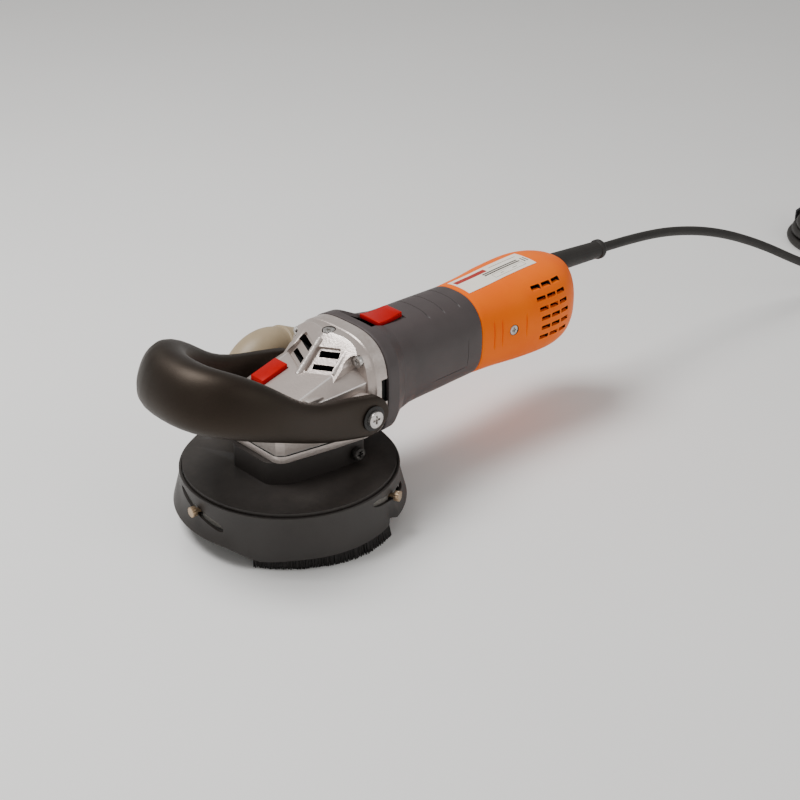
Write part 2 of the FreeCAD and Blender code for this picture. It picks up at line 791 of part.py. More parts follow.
# ------------------------------------------------------------------ spindle
def make_spindle():
    steps = ((spindle_bottom, flange_top, thread_radius), (flange_top, 52.5, spindle_collar_radius),
             (52.5, 88.0, spindle_radius), (88.0, spindle_top, spindle_tip_radius))
    solid = fuse([rod_z(radius, z0, z1) for z0, z1, radius in steps])
    return solid.cut(key_form(0.0))


def key_form(margin):
    return box(spindle_radius - 2.0, spindle_radius + 1.5 + margin, -1.5 - margin, 1.5 + margin, 77.0, 83.0)


def make_backing_flange():
    return turned([(thread_radius + running_clearance, 22.5), (wheel_bore_radius - 0.05, 22.5),
                   (wheel_bore_radius - 0.05, wheel_plate_top), (flange_radius, wheel_plate_top),
                   (flange_radius, 30.0), (13.0, flange_top), (thread_radius + running_clearance, flange_top)])


def make_cup_wheel():
    return turned([(wheel_bore_radius, wheel_plate_bottom), (wheel_bore_radius, wheel_plate_top),
                   (36.0, wheel_plate_top), (wheel_radius, wheel_rim_height),
                   (wheel_radius, wheel_face_height + segment_height), (43.0, wheel_face_height + segment_height),
                   (43.0, 12.0), (34.0, wheel_plate_bottom - 1.5), (30.0, wheel_plate_bottom)])


def make_grinding_segments():
    segments = []
    for inner, outer, count, shift in ((44.0, 52.0, 12, 0.0), (54.0, wheel_radius, 12, 15.0)):
        span = 360 / count * 0.72
        for k in range(count):
            top = wheel_face_height + segment_height
            ring = turned([(inner, wheel_face_height), (outer, wheel_face_height), (outer, top), (inner, top)],
                          span, shift + 360 / count * k)
            segments.append(ring)
    return group(segments)


def make_lock_nut():
    top = wheel_plate_bottom
    low = top - lock_nut_height
    solid = turned([(thread_radius + running_clearance, low), (13.0, low), (13.0, low + 4),
                    (lock_nut_radius, low + 4), (lock_nut_radius, top), (thread_radius + running_clearance, top)])
    for k in range(4):
        hole = rod_z(2.4, low - 1, low + 7, 16.0, 0)
        solid = solid.cut(at_angle(hole, 90 * k + 45))
    return solid


# ------------------------------------------------------------------ hood
def offset_plan(shrink):
    return [(x + shrink if x < 0 else x - shrink, y - math.copysign(shrink, y)) for x, y in pedestal_plan]


pedestal_plan = ((-37, -19), (-37, 19), (-24, 30), (10, 36), (40.5, 38), (40.5, -38), (10, -36), (-24, -30))
clamp_bolt_x = 31.0
clamp_bolt_z = 54.0
neck_hole_radius = neck_radius + 0.35


def make_hood_cup():
    plate = rod_z(hood_radius, hood_top - hood_plate, hood_top)
    wall = pipe_z(hood_wall_radius, hood_wall_radius - hood_wall, hood_wall_bottom, hood_top - 1)
    top = cover_bottom - part_gap
    pedestal = prism(pedestal_plan, hood_top - 1, top)
    pedestal = pedestal.cut(prism(offset_plan(pedestal_wall), hood_top, top - pedestal_wall))
    stub = rod_z(15.0, hood_top - 1, hood_top + 3.5, port_x - 5, port_y - 19)
    solid = fuse([plate, wall, pedestal, stub])
    solid = solid.cut(rod_z(neck_hole_radius, 0, 100))
    solid = solid.cut(rod_z(15.0 - port_wall, 0, hood_top + 10, port_x - 5, port_y - 19))
    for angle in thumb_angles:
        hole = rod(thumb_shank_radius + running_clearance, (hood_wall_radius - 10, 0, thumb_height),
                   (hood_radius + 20, 0, thumb_height))
        solid = solid.cut(at_angle(hole, angle))
    solid = solid.cut(rod(3.0 + running_clearance, (clamp_bolt_x, -60, clamp_bolt_z), (clamp_bolt_x, -20, clamp_bolt_z)))
    return solid


def make_hood_clamp_band():
    low = hood_top + part_gap
    ring = pipe_z(neck_radius + band_thickness, neck_radius + 0.05, low, low + band_height)
    lugs = []
    for side in (-1, 1):
        lugs.append(box(neck_radius, clamp_bolt_x + 5.5, min(side * 1.5, side * 5), max(side * 1.5, side * 5),
                        low, low + band_height))
    band = fuse([ring] + lugs)
    band = band.cut(box(10, clamp_bolt_x + 10, -1.5, 1.5, 0, 100))
    return band.cut(rod(3.0 + running_clearance, (clamp_bolt_x, -20, clamp_bolt_z), (clamp_bolt_x, 20, clamp_bolt_z)))


def make_hood_clamp_bolt():
    bolt = screw(5.0, 4.5, 3.0, (clamp_bolt_x, -38.05, clamp_bolt_z), (clamp_bolt_x, 9.0, clamp_bolt_z), 2.5)
    nut = box(clamp_bolt_x - 4, clamp_bolt_x + 4, 5.05, 9.0, clamp_bolt_z - 4.5, clamp_bolt_z + 4.5)
    return bolt.fuse(nut).removeSplitter()


def make_hood_thumb_screws():
    screws = []
    for angle in thumb_angles:
        inner = hood_wall_radius - hood_wall - 1.5
        face = skirt_outer + 1.9
        shank = rod(thumb_shank_radius, (inner, 0, thumb_height), (face + 1, 0, thumb_height))
        knob = rod(thumb_knob_radius, (face, 0, thumb_height), (face + thumb_knob_length, 0, thumb_height))
        for k in range(12):
            groove = rod(0.7, (face - 1, thumb_knob_radius, thumb_height),
                         (face + thumb_knob_length + 1, thumb_knob_radius, thumb_height))
            groove.rotate(Vec(0, 0, thumb_height), axis_x, 30 * k)
            knob = knob.cut(groove)
        screws.append(at_angle(shank.fuse(knob), angle))
    return group(screws)


def make_dust_riser():
    low = hood_top + 3.5
    seam = elbow_base - 9.0
    outer = Part.makeLoft([circle_wire(port_x - 5, port_y - 19, low, 15.0),
                           circle_wire(port_x, port_y, seam, port_radius)], True, True)
    inner = Part.makeLoft([circle_wire(port_x - 5, port_y - 19, low, 15.0 - port_wall),
                           circle_wire(port_x, port_y, seam, port_radius - port_wall - 1)], True, True)
    spigot_radius = port_radius - 1.5
    spigot = rod_z(spigot_radius, seam, elbow_base - 0.5, port_x, port_y)
    bore = rod_z(port_radius - port_wall - 1, seam, elbow_base - 0.5, port_x, port_y)
    return fuse([outer, spigot]).cut(inner).cut(bore)


def circle_wire(x, y, z, radius):
    return Part.Wire(Part.makeCircle(radius, Vec(x, y, z), axis_z))


def make_hose_elbow():
    start = Vec(port_x, port_y, elbow_base)
    pivot = Vec(port_x + elbow_bend_radius, port_y, elbow_base)
    outer = Part.Face(circle_wire(port_x, port_y, elbow_base, port_radius)).revolve(pivot, axis_y, elbow_turn)
    inner = Part.Face(circle_wire(port_x, port_y, elbow_base, port_radius - port_wall)).revolve(pivot, axis_y, elbow_turn)
    turn = math.radians(elbow_turn)
    mouth = pivot + Vec(-math.cos(turn) * elbow_bend_radius, 0, math.sin(turn) * elbow_bend_radius)
    along = Vec(math.sin(turn), 0, math.cos(turn))
    end = mouth + along * hose_socket_length
    socket = rod(hose_socket_radius + port_wall, mouth, end)
    sleeve = rod_z(port_radius + 1.5, elbow_base - 8.7, elbow_base, port_x, port_y)
    solid = fuse([outer, socket, sleeve]).cut(inner)
    solid = solid.cut(rod(hose_socket_radius, mouth + along * 3, end + along))
    solid = solid.cut(rod(port_radius - port_wall, mouth, mouth + along * 4))
    solid = solid.cut(rod_z(port_radius - 1.5 + part_gap, elbow_base - 9, elbow_base, port_x, port_y))
    return solid


# ------------------------------------------------------------------ skirt
guide_inner = hood_wall_radius + part_gap
guide_outer = guide_inner + guide_thickness
skirt_inner = guide_outer + part_gap
skirt_outer = skirt_inner + skirt_wall


def make_skirt_guides():
    ring = pipe_z(guide_outer, guide_inner, guide_bottom, guide_top)
    for angle in thumb_angles:
        gap = box(guide_inner - 5, guide_outer + 5, -thumb_shank_radius - 0.6, thumb_shank_radius + 0.6, 0, 60)
        ring = ring.cut(at_angle(gap, angle))
    return ring


def helical_slot(angle):
    half = skirt_outer * math.sin(math.radians(slot_half_angle))
    radius = thumb_shank_radius + 1.0
    slope = -math.degrees(math.atan(skirt_rise_per_degree / math.radians(1) / skirt_outer))
    slot = box(skirt_inner - 6, skirt_outer + 10, -half, half, -radius, radius)
    for side in (-1, 1):
        slot = slot.fuse(rod(radius, (skirt_inner - 6, side * half, 0), (skirt_outer + 10, side * half, 0)))
    slot.rotate(Vec(0, 0, 0), axis_x, slope)
    slot.translate(Vec(0, 0, thumb_height))
    return at_angle(slot, angle)


def make_skirt_ring():
    span = 360 - (cutaway_end - cutaway_start)
    ledge_inner = skirt_inner - brush_thickness
    lip = turned([(skirt_inner, lip_bottom), (lip_radius - 1.2, lip_bottom), (lip_radius, lip_bottom),
                  (lip_radius, lip_bottom + 2), (skirt_outer, lip_start), (skirt_outer, skirt_top),
                  (skirt_inner, skirt_top)], span, cutaway_end)
    hollow = turned([(skirt_inner, lip_bottom - 1), (lip_radius - 2.4, lip_bottom - 1),
                     (lip_radius - 2.4, lip_bottom + 1.5), (skirt_inner + 0.4, lip_start - 9),
                     (skirt_inner, lip_start - 9)])
    keep = pipe_z(skirt_inner + 1.6, skirt_inner, lip_bottom, lip_start)
    lip = lip.cut(hollow.cut(keep))
    wall = turned([(skirt_inner, straight_bottom), (skirt_outer, straight_bottom), (skirt_outer, skirt_top),
                   (skirt_inner, skirt_top)], cutaway_end - cutaway_start, cutaway_start)
    ledge = turned([(ledge_inner, ledge_top - ledge_thickness), (skirt_inner + 0.5, ledge_top - ledge_thickness),
                    (skirt_inner + 0.5, ledge_top), (ledge_inner, ledge_top)])
    solid = fuse([lip, wall, ledge])
    for angle in thumb_angles:
        solid = solid.cut(helical_slot(angle))
        reach = skirt_turn_limit + 8
        landing = turned([(skirt_outer + 0.2, thumb_height - 13), (skirt_outer + 20, thumb_height - 13),
                          (skirt_outer + 20, 60), (skirt_outer + 0.2, 60)], 2 * reach, angle - reach)
        solid = solid.cut(landing)
    return solid


def make_brush_ring():
    outer = skirt_inner - 0.1
    inner = outer - brush_thickness + 0.2
    top = ledge_top - ledge_thickness
    whole = turned([(inner, brush_short_bottom), (outer, brush_short_bottom), (outer, top), (inner, top)])
    strip = turned([(inner, 0), (outer, 0), (outer, top), (inner, top)],
                   cutaway_end - cutaway_start, cutaway_start)
    return whole.fuse(strip).removeSplitter()


# ------------------------------------------------------------------ handle
def handle_ring(station, side):
    ahead, out, above, tall, thick, rise, turn = station
    rise = math.radians(rise)
    turn = math.radians(turn)
    upright = Vec(math.sin(rise), 0, math.cos(rise))
    forward = Vec(-math.cos(rise), 0, math.sin(rise))
    along = forward * math.cos(turn) + Vec(0, -side * math.sin(turn), 0)
    across = along.cross(upright)
    centre = Vec(pivot_x - ahead, side * out, pivot_z + above)
    points = []
    for i in range(24):
        around = 2 * math.pi * i / 24
        c = math.cos(around)
        s = math.sin(around)
        a = thick / 2 * side * math.copysign(abs(c) ** 0.8, c)
        b = tall / 2 * math.copysign(abs(s) ** 0.8, s)
        points.append(centre + across * a + upright * b)
    curve = Part.BSplineCurve()
    curve.interpolate(points, PeriodicFlag=True)
    return Part.Wire(curve.toShape())


def make_bow_handle():
    near = [handle_ring(station, -1) for station in handle_sections]
    middle = handle_ring((grip_ahead, 0.0, grip_rise, grip_height, grip_thickness, 24.0, 90.0), -1)
    halves = Part.makeLoft(near + [middle], True, True)
    solid = halves.fuse(mirrored(halves)).removeSplitter()
    ends = []
    for side in (-1, 1):
        ends.append(rod(arm_height / 2 + 0.5, (pivot_x, side * (arm_centre - arm_thickness / 2), pivot_z),
                        (pivot_x, side * (arm_centre + arm_thickness / 2), pivot_z)))
    solid = fuse([solid] + ends)
    for side in (-1, 1):
        solid = solid.cut(rod(handle_bolt_radius + 0.06, (pivot_x, side * 30, pivot_z), (pivot_x, side * 70, pivot_z)))
    return solid


def make_handle_bolts():
    outer = arm_centre + arm_thickness / 2 + part_gap + 1.2
    bolts = []
    for side in (-1, 1):
        bolts.append(screw(6.2, 2.4, handle_bolt_radius, (pivot_x, side * outer, pivot_z),
                           (pivot_x, side * 34, pivot_z), 1.8))
    return group(bolts)


def make_handle_washers():
    outer = arm_centre + arm_thickness / 2
    washers = []
    for side in (-1, 1):
        washers.append(pipe(9.5, handle_bolt_radius + running_clearance, (pivot_x, side * (outer + part_gap), pivot_z),
                            (pivot_x, side * (outer + part_gap + 1.2), pivot_z)))
    return group(washers)


# ------------------------------------------------------------------ switch
def make_switch_slider():
    x0 = switch_x - switch_length / 2
    x1 = switch_x + switch_length / 2
    front = switch_front_width / 2
    rear = switch_rear_width / 2
    plan = ((x0, -front), (x1, -rear), (x1, rear), (x0, front))
    cap = prism(plan, switch_floor + part_gap, switch_top)
    cap = cap.cut(Part.makeCylinder(60, 60, Vec(switch_x - 3, -30, switch_top + 59.0), axis_y))
    neck = box(switch_x - 6, switch_x + 6, -4, 4, 126.4, switch_floor + 1)
    return fuse([cap, neck])


def make_switch_link():
    hook = box(switch_x - 6, switch_x + 6, -3.2, 3.2, 124.9, 126.35)
    strip = box(switch_x, 206.0, -2.6, 2.6, 124.9, 126.35)
    return hook.fuse(strip).removeSplitter()


def make_switch_body():
    return box(206.4, 232, -9, 9, 110, 128.2).common(shell_form(cover_sections, cover_wall + part_gap))


def make_capacitor():
    return box(208, 230, -8, 8, 98, 109.8)


def make_cord_clamp():
    form = shell_form(cover_sections, cover_wall + part_gap)
    saddle = box(250, 258, -12, 12, 121.5, 140).common(form)
    saddle = saddle.cut(rod(5.1, (240, 0, 121.17), (270, 0, 119.13)))
    for side in (-1, 1):
        saddle = saddle.cut(rod_z(1.5 + running_clearance, 110, 127, 254, side * 9))
    return saddle


def make_cord_clamp_screws():
    return group([screw(2.8, 2.0, 1.5, (254, side * 9, 121.4), (254, side * 9, 126.8), 1.0) for side in (-1, 1)])


# ------------------------------------------------------------------ cord
def make_strain_relief():
    along = (relief_end - relief_start).normalize()
    length = (relief_end - relief_start).Length
    sleeve = rod(5.0, relief_start - along * 20, relief_start + along)
    root = rod(relief_root_radius, relief_start, relief_start + along * 14)
    taper = Part.makeCone(relief_root_radius, relief_tip_radius, length - 14, relief_start + along * 14, along)
    bead = rod(relief_tip_radius + 1.2, relief_end - along * 6, relief_end - along * 2)
    return fuse([sleeve, root, taper, bead])


def cord_path(points):
    """Straight runs joined by tangent arcs, each as large as its two runs allow."""
    points = [Vec(p) for p in points]
    edges = []
    here = points[0]
    for before, corner, after in zip(points, points[1:], points[2:]):
        run_in = (corner - before).normalize()
        run_out = (after - corner).normalize()
        short = min((corner - before).Length, (after - corner).Length)
        turn = run_in.getAngle(run_out)
        reach = 0.45 * short
        radius = reach / math.tan(turn / 2)
        print("cord arc radius", round(radius))
        start = corner - run_in * reach
        end = corner + run_out * reach
        centre_line = (run_out - run_in).normalize()
        middle = corner + centre_line * (radius / math.cos(turn / 2) - radius)
        edges.append(Part.LineSegment(here, start).toShape())
        edges.append(Part.Arc(start, middle, end).toShape())
        here = end
    edges.append(Part.LineSegment(here, points[-1]).toShape())
    return Part.Wire(edges)


def make_mains_cord():
    path = cord_path(cord_points)
    first = Vec(cord_points[0])
    ahead = (Vec(cord_points[1]) - first).normalize()
    ring = Part.Wire(Part.makeCircle(cord_diameter / 2, first, ahead))
    solid = path.makePipeShell([ring], True, False)
    expected = math.pi * cord_diameter ** 2 / 4 * path.Length
    print("cord length", round(path.Length), "volume share", round(solid.Volume / expected, 4))
    return solid


def coil_form(shrink=0.0):
    inner = coil_mid_radius - coil_width / 2 + shrink
    outer = coil_mid_radius + coil_width / 2 - shrink
    low = 0.2 + shrink
    high = coil_height - shrink
    bevel = 5.0
    coil = turned([(inner + bevel, low), (outer - bevel, low), (outer, low + bevel), (outer, high - bevel),
                   (outer - bevel, high), (inner + bevel, high), (inner, high - bevel), (inner, low + bevel)])
    coil.translate(coil_centre)
    return coil


def tie_form():
    reach = coil_width + 20
    tie = box(-tie_width / 2, tie_width / 2, coil_mid_radius - reach / 2, coil_mid_radius + reach / 2, -5, coil_height + 5)
    tie.translate(coil_centre)
    return tie


def make_cord_coil():
    return coil_form().cut(tie_form().cut(coil_form(tie_thickness + 0.1)))


def make_cord_tie():
    return coil_form().cut(coil_form(tie_thickness)).common(tie_form())


def plug_origin():
    return coil_centre + Vec(coil_mid_radius + coil_width / 2 + plug_radius + 0.3, -plug_length / 2, plug_radius)


def make_mains_plug():
    start = plug_origin()
    body = Part.makeCylinder(plug_radius, plug_length * 0.55, start + Vec(0, plug_length * 0.45, 0), axis_y)
    neck = Part.makeCone(6.0, plug_radius * 0.85, plug_length * 0.45, start, axis_y)
    flats = box(-plug_radius, plug_radius, -1, plug_length + 1, -plug_radius * 0.8, plug_radius * 0.8)
    flats.translate(start)
    solid = body.fuse(neck).common(flats).removeSplitter()
    solid.translate(Vec(0, 0, -plug_radius * 0.2 + 0.2))
    return solid


def make_plug_pins():
    start = plug_origin() + Vec(0, plug_length, -plug_radius * 0.2 + 0.2)
    pins = []
    for side in (-1, 1):
        place = start + Vec(side * 9.5, 0, 0)
        pins.append(Part.makeCylinder(2.4, 19, place, axis_y))
    return group(pins)


# ------------------------------------------------------------------ build
def build():
    save("motor_housing", make_motor_housing())
    save("rear_cover", make_rear_cover())
    save("rear_cover_screws", make_rear_cover_screws())
    save("rating_label", make_rating_label())
    save("stator_core", make_stator_core())
    save("stator_windings", make_stator_windings())
    save("armature_shaft", make_armature_shaft())
    save("armature_core", make_armature_core())
    save("armature_windings", make_armature_windings())
    save("commutator", make_commutator())
    save("cooling_fan", make_cooling_fan())
    save("air_baffle", make_air_baffle())
    save("brush_holders", make_brush_holders())
    save("carbon_brushes", make_carbon_brushes())
    save("brush_springs", make_brush_springs())
    save("front_bearing", bearing(front_bearing_outer, front_bearing_inner + seat_clearance,
                                  (47, 0, motor_axis), (47 + front_bearing_width, 0, motor_axis)))
    save("rear_bearing", bearing(rear_bearing_outer, rear_bearing_inner + seat_clearance,
                                 (web_start, 0, motor_axis), (web_start + rear_bearing_width, 0, motor_axis)))
    save("crown_gear", make_crown_gear().cut(key_form(0.03)))
    save("pinion", make_pinion())
    save("pinion_nut", make_pinion_nut())
    save("gear_housing", make_gear_housing())
    save("gear_cover_plate", make_gear_cover_plate())
    save("gear_cover_screws", make_gear_cover_screws())
    save("gear_housing_screws", make_gear_housing_screws())
    save("spindle", make_spindle())
    save("spindle_key", key_form(0.0))
    save("spindle_bearing", bearing(17.5, spindle_radius + seat_clearance, (0, 0, 52.5), (0, 0, 63.5)))
    save("spindle_top_bush", pipe_z(spindle_tip_radius + 2, spindle_tip_radius + running_clearance, 97.2, spindle_top))
    save("spindle_seal", pipe_z(13.0, spindle_collar_radius + running_clearance, neck_bottom + 0.3, 52.4))
    save("backing_flange", make_backing_flange())
    save("cup_wheel", make_cup_wheel())
    save("grinding_segments", make_grinding_segments())
    save("lock_nut", make_lock_nut())
    save("lock_button", make_lock_button())
    save("lock_pin", make_lock_pin())
    save("hood_cup", make_hood_cup())
    save("hood_clamp_band", make_hood_clamp_band())
    save("hood_clamp_bolt", make_hood_clamp_bolt())
    save("hood_thumb_screws", make_hood_thumb_screws())
    save("dust_riser", make_dust_riser())
    save("hose_elbow", make_hose_elbow())
    save("skirt_guides", make_skirt_guides())
    save("skirt_ring", make_skirt_ring())
    save("brush_ring", make_brush_ring())
    save("bow_handle", make_bow_handle())
    save("handle_bolts", make_handle_bolts())
    save("handle_washers", make_handle_washers())
    save("switch_slider", make_switch_slider())
    save("switch_link", make_switch_link())
    save("switch_body", make_switch_body())
    save("capacitor", make_capacitor())
    save("cord_clamp", make_cord_clamp())
    save("cord_clamp_screws", make_cord_clamp_screws())
    save("strain_relief", make_strain_relief())
    save("mains_cord", make_mains_cord())
    save("cord_coil", make_cord_coil())
    save("cord_tie", make_cord_tie())
    save("mains_plug", make_mains_plug())
    save("plug_pins", make_plug_pins())


build()
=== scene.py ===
import bmesh
import bpy
import json
import math
import random
from mathutils import Matrix, Vector


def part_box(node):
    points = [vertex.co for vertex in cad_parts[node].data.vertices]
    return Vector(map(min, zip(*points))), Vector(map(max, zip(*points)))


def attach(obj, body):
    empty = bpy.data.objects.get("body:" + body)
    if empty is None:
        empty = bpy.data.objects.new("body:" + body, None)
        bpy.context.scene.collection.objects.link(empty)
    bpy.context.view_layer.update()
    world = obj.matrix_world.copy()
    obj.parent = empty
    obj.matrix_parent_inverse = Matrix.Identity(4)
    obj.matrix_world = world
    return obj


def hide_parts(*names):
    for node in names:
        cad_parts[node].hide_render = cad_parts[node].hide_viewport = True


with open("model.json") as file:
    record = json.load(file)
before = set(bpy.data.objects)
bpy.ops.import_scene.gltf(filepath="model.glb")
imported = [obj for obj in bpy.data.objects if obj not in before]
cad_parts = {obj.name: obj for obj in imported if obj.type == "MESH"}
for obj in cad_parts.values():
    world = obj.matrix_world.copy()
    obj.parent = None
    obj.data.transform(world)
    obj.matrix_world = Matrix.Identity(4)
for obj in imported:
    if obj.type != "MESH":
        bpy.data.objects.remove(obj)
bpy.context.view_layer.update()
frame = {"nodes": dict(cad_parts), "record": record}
scene = bpy.context.scene
mm = 0.001          # pieces are worked in millimetres and scaled once, when they are finished
# the second finish of a piece is painted shade in recesses and grooves; the third is bright edge metal, partly
# wear and partly painted highlight
plainFace, paintedShadeFace, wornHighlightFace = 0, 1, 2    # places in a piece's list of finishes
print("frame loaded")


# mesh helpers, all in millimetres

def corners(node):
    low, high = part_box(node)
    return low / mm, high / mm


def signedPower(value, power):
    return math.copysign(abs(value) ** power, value)


def edgesOf(verts):
    return list({edge for vert in verts for edge in vert.link_edges})


def edgeDirection(edge):
    return (edge.verts[0].co - edge.verts[1].co).normalized()


def outward(degrees):
    turn = math.radians(degrees)
    return Vector((math.cos(turn), math.sin(turn), 0))


# the span from near to far on one side of the middle, lower end first
def sideSpan(side, near, far):
    return tuple(sorted((side * near, side * far)))


def paintFaces(faces, finish):
    for face in faces:
        face.material_index = finish


# a closed ring of edges through the points
def addLoop(bm, points):
    loop = bmesh.ops.create_circle(bm, segments=len(points), radius=1.0)["verts"]
    for vert, point in zip(loop, points):
        vert.co = point
    return edgesOf(loop)


# a rounded rectangle across x; the higher the power, the squarer its corners
def ovalPoints(x, width, height, power, centreZ, count):
    points = []
    for i in range(count):
        turn = 2 * math.pi * i / count
        y = width / 2 * signedPower(math.cos(turn), 2 / power)
        z = height / 2 * signedPower(math.sin(turn), 2 / power)
        points.append(Vector((x, y, centreZ + z)))
    return points


def joinLoops(bm, loops, closeEnds=False):
    for before, after in zip(loops, loops[1:]):
        bmesh.ops.bridge_loops(bm, edges=before + after)
    if closeEnds:
        for loop in (loops[0], loops[-1]):
            bmesh.ops.edgeloop_fill(bm, edges=loop)
    bmesh.ops.recalc_face_normals(bm, faces=bm.faces)


def sharpEdges(bm, degrees=30):
    limit = math.radians(degrees)
    return [e for e in bm.edges if len(e.link_faces) == 2 and e.calc_face_angle(0) > limit]


def roundEdges(bm, edges, width, steps=3, finish=None, clamp=True):
    made = bmesh.ops.bevel(bm, geom=edges, offset=width, offset_type="OFFSET", segments=steps,
                           profile=0.5, affect="EDGES", clamp_overlap=clamp, material=-1)
    if finish is not None:
        paintFaces(made["faces"], finish)


def block(bm, x, y, z, width=0.0):
    made = bmesh.ops.create_cube(bm, size=1.0)["verts"]
    size = Vector((x[1] - x[0], y[1] - y[0], z[1] - z[0]))
    middle = Vector((x[0] + x[1], y[0] + y[1], z[0] + z[1])) / 2
    bmesh.ops.scale(bm, vec=size, verts=made)
    bmesh.ops.translate(bm, vec=middle, verts=made)
    if width:
        roundEdges(bm, edgesOf(made), width, 2)
    return made


def cylinder(bm, start, end, radius, tipRadius=None, sides=40):
    start, end = Vector(start), Vector(end)
    turn = (end - start).to_track_quat("Z", "Y").to_matrix().to_4x4()
    return bmesh.ops.create_cone(bm, cap_ends=True, segments=sides, radius1=radius,
                                 radius2=radius if tipRadius is None else tipRadius,
                                 depth=(end - start).length,
                                 matrix=Matrix.Translation((start + end) / 2) @ turn)["verts"]


def shortLived(bm):
    mesh = bpy.data.meshes.new("work")
    bm.to_mesh(mesh)
    bm.free()
    thing = bpy.data.objects.new("work", mesh)
    scene.collection.objects.link(thing)
    return thing


# the first mesh with the others cut from it, or joined to it, one at a time
def combined(bm, tools, operation="DIFFERENCE"):
    for tool in tools:
        bmesh.ops.recalc_face_normals(tool, faces=tool.faces)
        thing, other = shortLived(bm), shortLived(tool)
        cut = thing.modifiers.new("cut", "BOOLEAN")
        cut.object, cut.operation, cut.solver = other, operation, "EXACT"
        bpy.context.view_layer.update()
        seen = bpy.context.evaluated_depsgraph_get()
        mesh = bpy.data.meshes.new_from_object(thing.evaluated_get(seen))
        bm = bmesh.new()
        bm.from_mesh(mesh)
        bpy.data.meshes.remove(mesh)
        for old in (thing, other):
            oldMesh = old.data
            bpy.data.objects.remove(old)
            bpy.data.meshes.remove(oldMesh)
    return bm


# scales a piece to metres, gives it its finishes and puts it in place of its node
def finishPiece(name, bm, materials, body, node, smooth=35, levels=0, turnOut=True):
    bmesh.ops.remove_doubles(bm, verts=bm.verts, dist=0.002)
    if turnOut:
        bmesh.ops.recalc_face_normals(bm, faces=bm.faces)
    bmesh.ops.scale(bm, vec=(mm, mm, mm), verts=bm.verts)
    mesh = bpy.data.meshes.new(name)
    bm.to_mesh(mesh)
    bm.free()
    for material in materials:
        mesh.materials.append(material)
    mesh.polygons.foreach_set("use_smooth", [True] * len(mesh.polygons))
    mesh.set_sharp_from_angle(angle=math.radians(smooth))
    piece = bpy.data.objects.new(name, mesh)
    scene.collection.objects.link(piece)
    if levels:
        smoother = piece.modifiers.new("smooth", "SUBSURF")
        smoother.levels = smoother.render_levels = levels
    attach(piece, body)
    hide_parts(node)
    return piece


# node groups that several finishes share

def startGroup(name, inputs, outputs):
    group = bpy.data.node_groups.new(name, "ShaderNodeTree")
    for label, kind, value in inputs:
        group.interface.new_socket(label, in_out="INPUT", socket_type=kind).default_value = value
    for label, kind in outputs:
        group.interface.new_socket(label, in_out="OUTPUT", socket_type=kind)
    return group, group.nodes.new("NodeGroupInput"), group.nodes.new("NodeGroupOutput")


def objectPlace(tree):
    return tree.nodes.new("ShaderNodeTexCoord").outputs["Object"]


def splitAxes(tree, vector):
    split = tree.nodes.new("ShaderNodeSeparateXYZ")
    tree.links.new(vector, split.inputs[0])
    return split.outputs


def mathNode(tree, operation, first, second):
    node = tree.nodes.new("ShaderNodeMath")
    node.operation = operation
    for socket, value in zip(node.inputs, (first, second)):
        if isinstance(value, (int, float)):
            socket.default_value = value
        else:
            tree.links.new(value, socket)
    return node.outputs[0]


def stretchNode(tree, value, low, high):
    node = tree.nodes.new("ShaderNodeMapRange")
    node.inputs["From Min"].default_value = low
    node.inputs["From Max"].default_value = high
    tree.links.new(value, node.inputs["Value"])
    return node.outputs["Result"]


def noiseNode(tree, place, size, detail=3.0):
    node = tree.nodes.new("ShaderNodeTexNoise")
    node.inputs["Detail"].default_value = detail
    tree.links.new(place, node.inputs["Vector"])
    if isinstance(size, (int, float)):
        node.inputs["Scale"].default_value = size
    else:
        tree.links.new(size, node.inputs["Scale"])
    return node.outputs["Fac"]


surface = {"grainDepth": 0.0003, "lineDepth": 0.0004, "coatRough": 0.25, "clouds": (0.3, 0.7),
           "rubbedEdge": (0.52, 0.62), "rubbedPatch": (0.35, 0.65),
           "dustSize": 90.0, "dustPatch": (0.4, 0.7), "dustUp": (0.2, 1.0), "dustColour": (176, 168, 158)}


# fine moulded texture with slow changes of tone and gloss over the surface
def makeMouldedGrain():
    group, given, result = startGroup("mouldedGrain", [
        ("Tone", "NodeSocketColor", (0.5, 0.5, 0.5, 1)), ("Shade", "NodeSocketColor", (0.4, 0.4, 0.4, 1)),
        ("Rough", "NodeSocketFloat", 0.5), ("Rough Spread", "NodeSocketFloat", 0.1),
        ("Grain Size", "NodeSocketFloat", 1200), ("Grain Height", "NodeSocketFloat", 0.3),
        ("Cloud Size", "NodeSocketFloat", 40)],
        [("Colour", "NodeSocketColor"), ("Roughness", "NodeSocketFloat"), ("Normal", "NodeSocketVector")])
    place = objectPlace(group)
    cloud = noiseNode(group, place, given.outputs["Cloud Size"], 5.0)
    grain = noiseNode(group, place, given.outputs["Grain Size"], 2.0)
    mix = group.nodes.new("ShaderNodeMix")
    mix.data_type = "RGBA"
    group.links.new(stretchNode(group, cloud, *surface["clouds"]), mix.inputs["Factor"])
    group.links.new(given.outputs["Tone"], mix.inputs["A"])
    group.links.new(given.outputs["Shade"], mix.inputs["B"])
    swing = mathNode(group, "SUBTRACT", cloud, 0.5)
    swing = mathNode(group, "MULTIPLY", swing, given.outputs["Rough Spread"])
    bump = group.nodes.new("ShaderNodeBump")
    bump.inputs["Distance"].default_value = surface["grainDepth"]
    group.links.new(given.outputs["Grain Height"], bump.inputs["Strength"])
    group.links.new(grain, bump.inputs["Height"])
    group.links.new(mix.outputs["Result"], result.inputs["Colour"])
    group.links.new(mathNode(group, "ADD", given.outputs["Rough"], swing), result.inputs["Roughness"])
    group.links.new(bump.outputs["Normal"], result.inputs["Normal"])
    return group


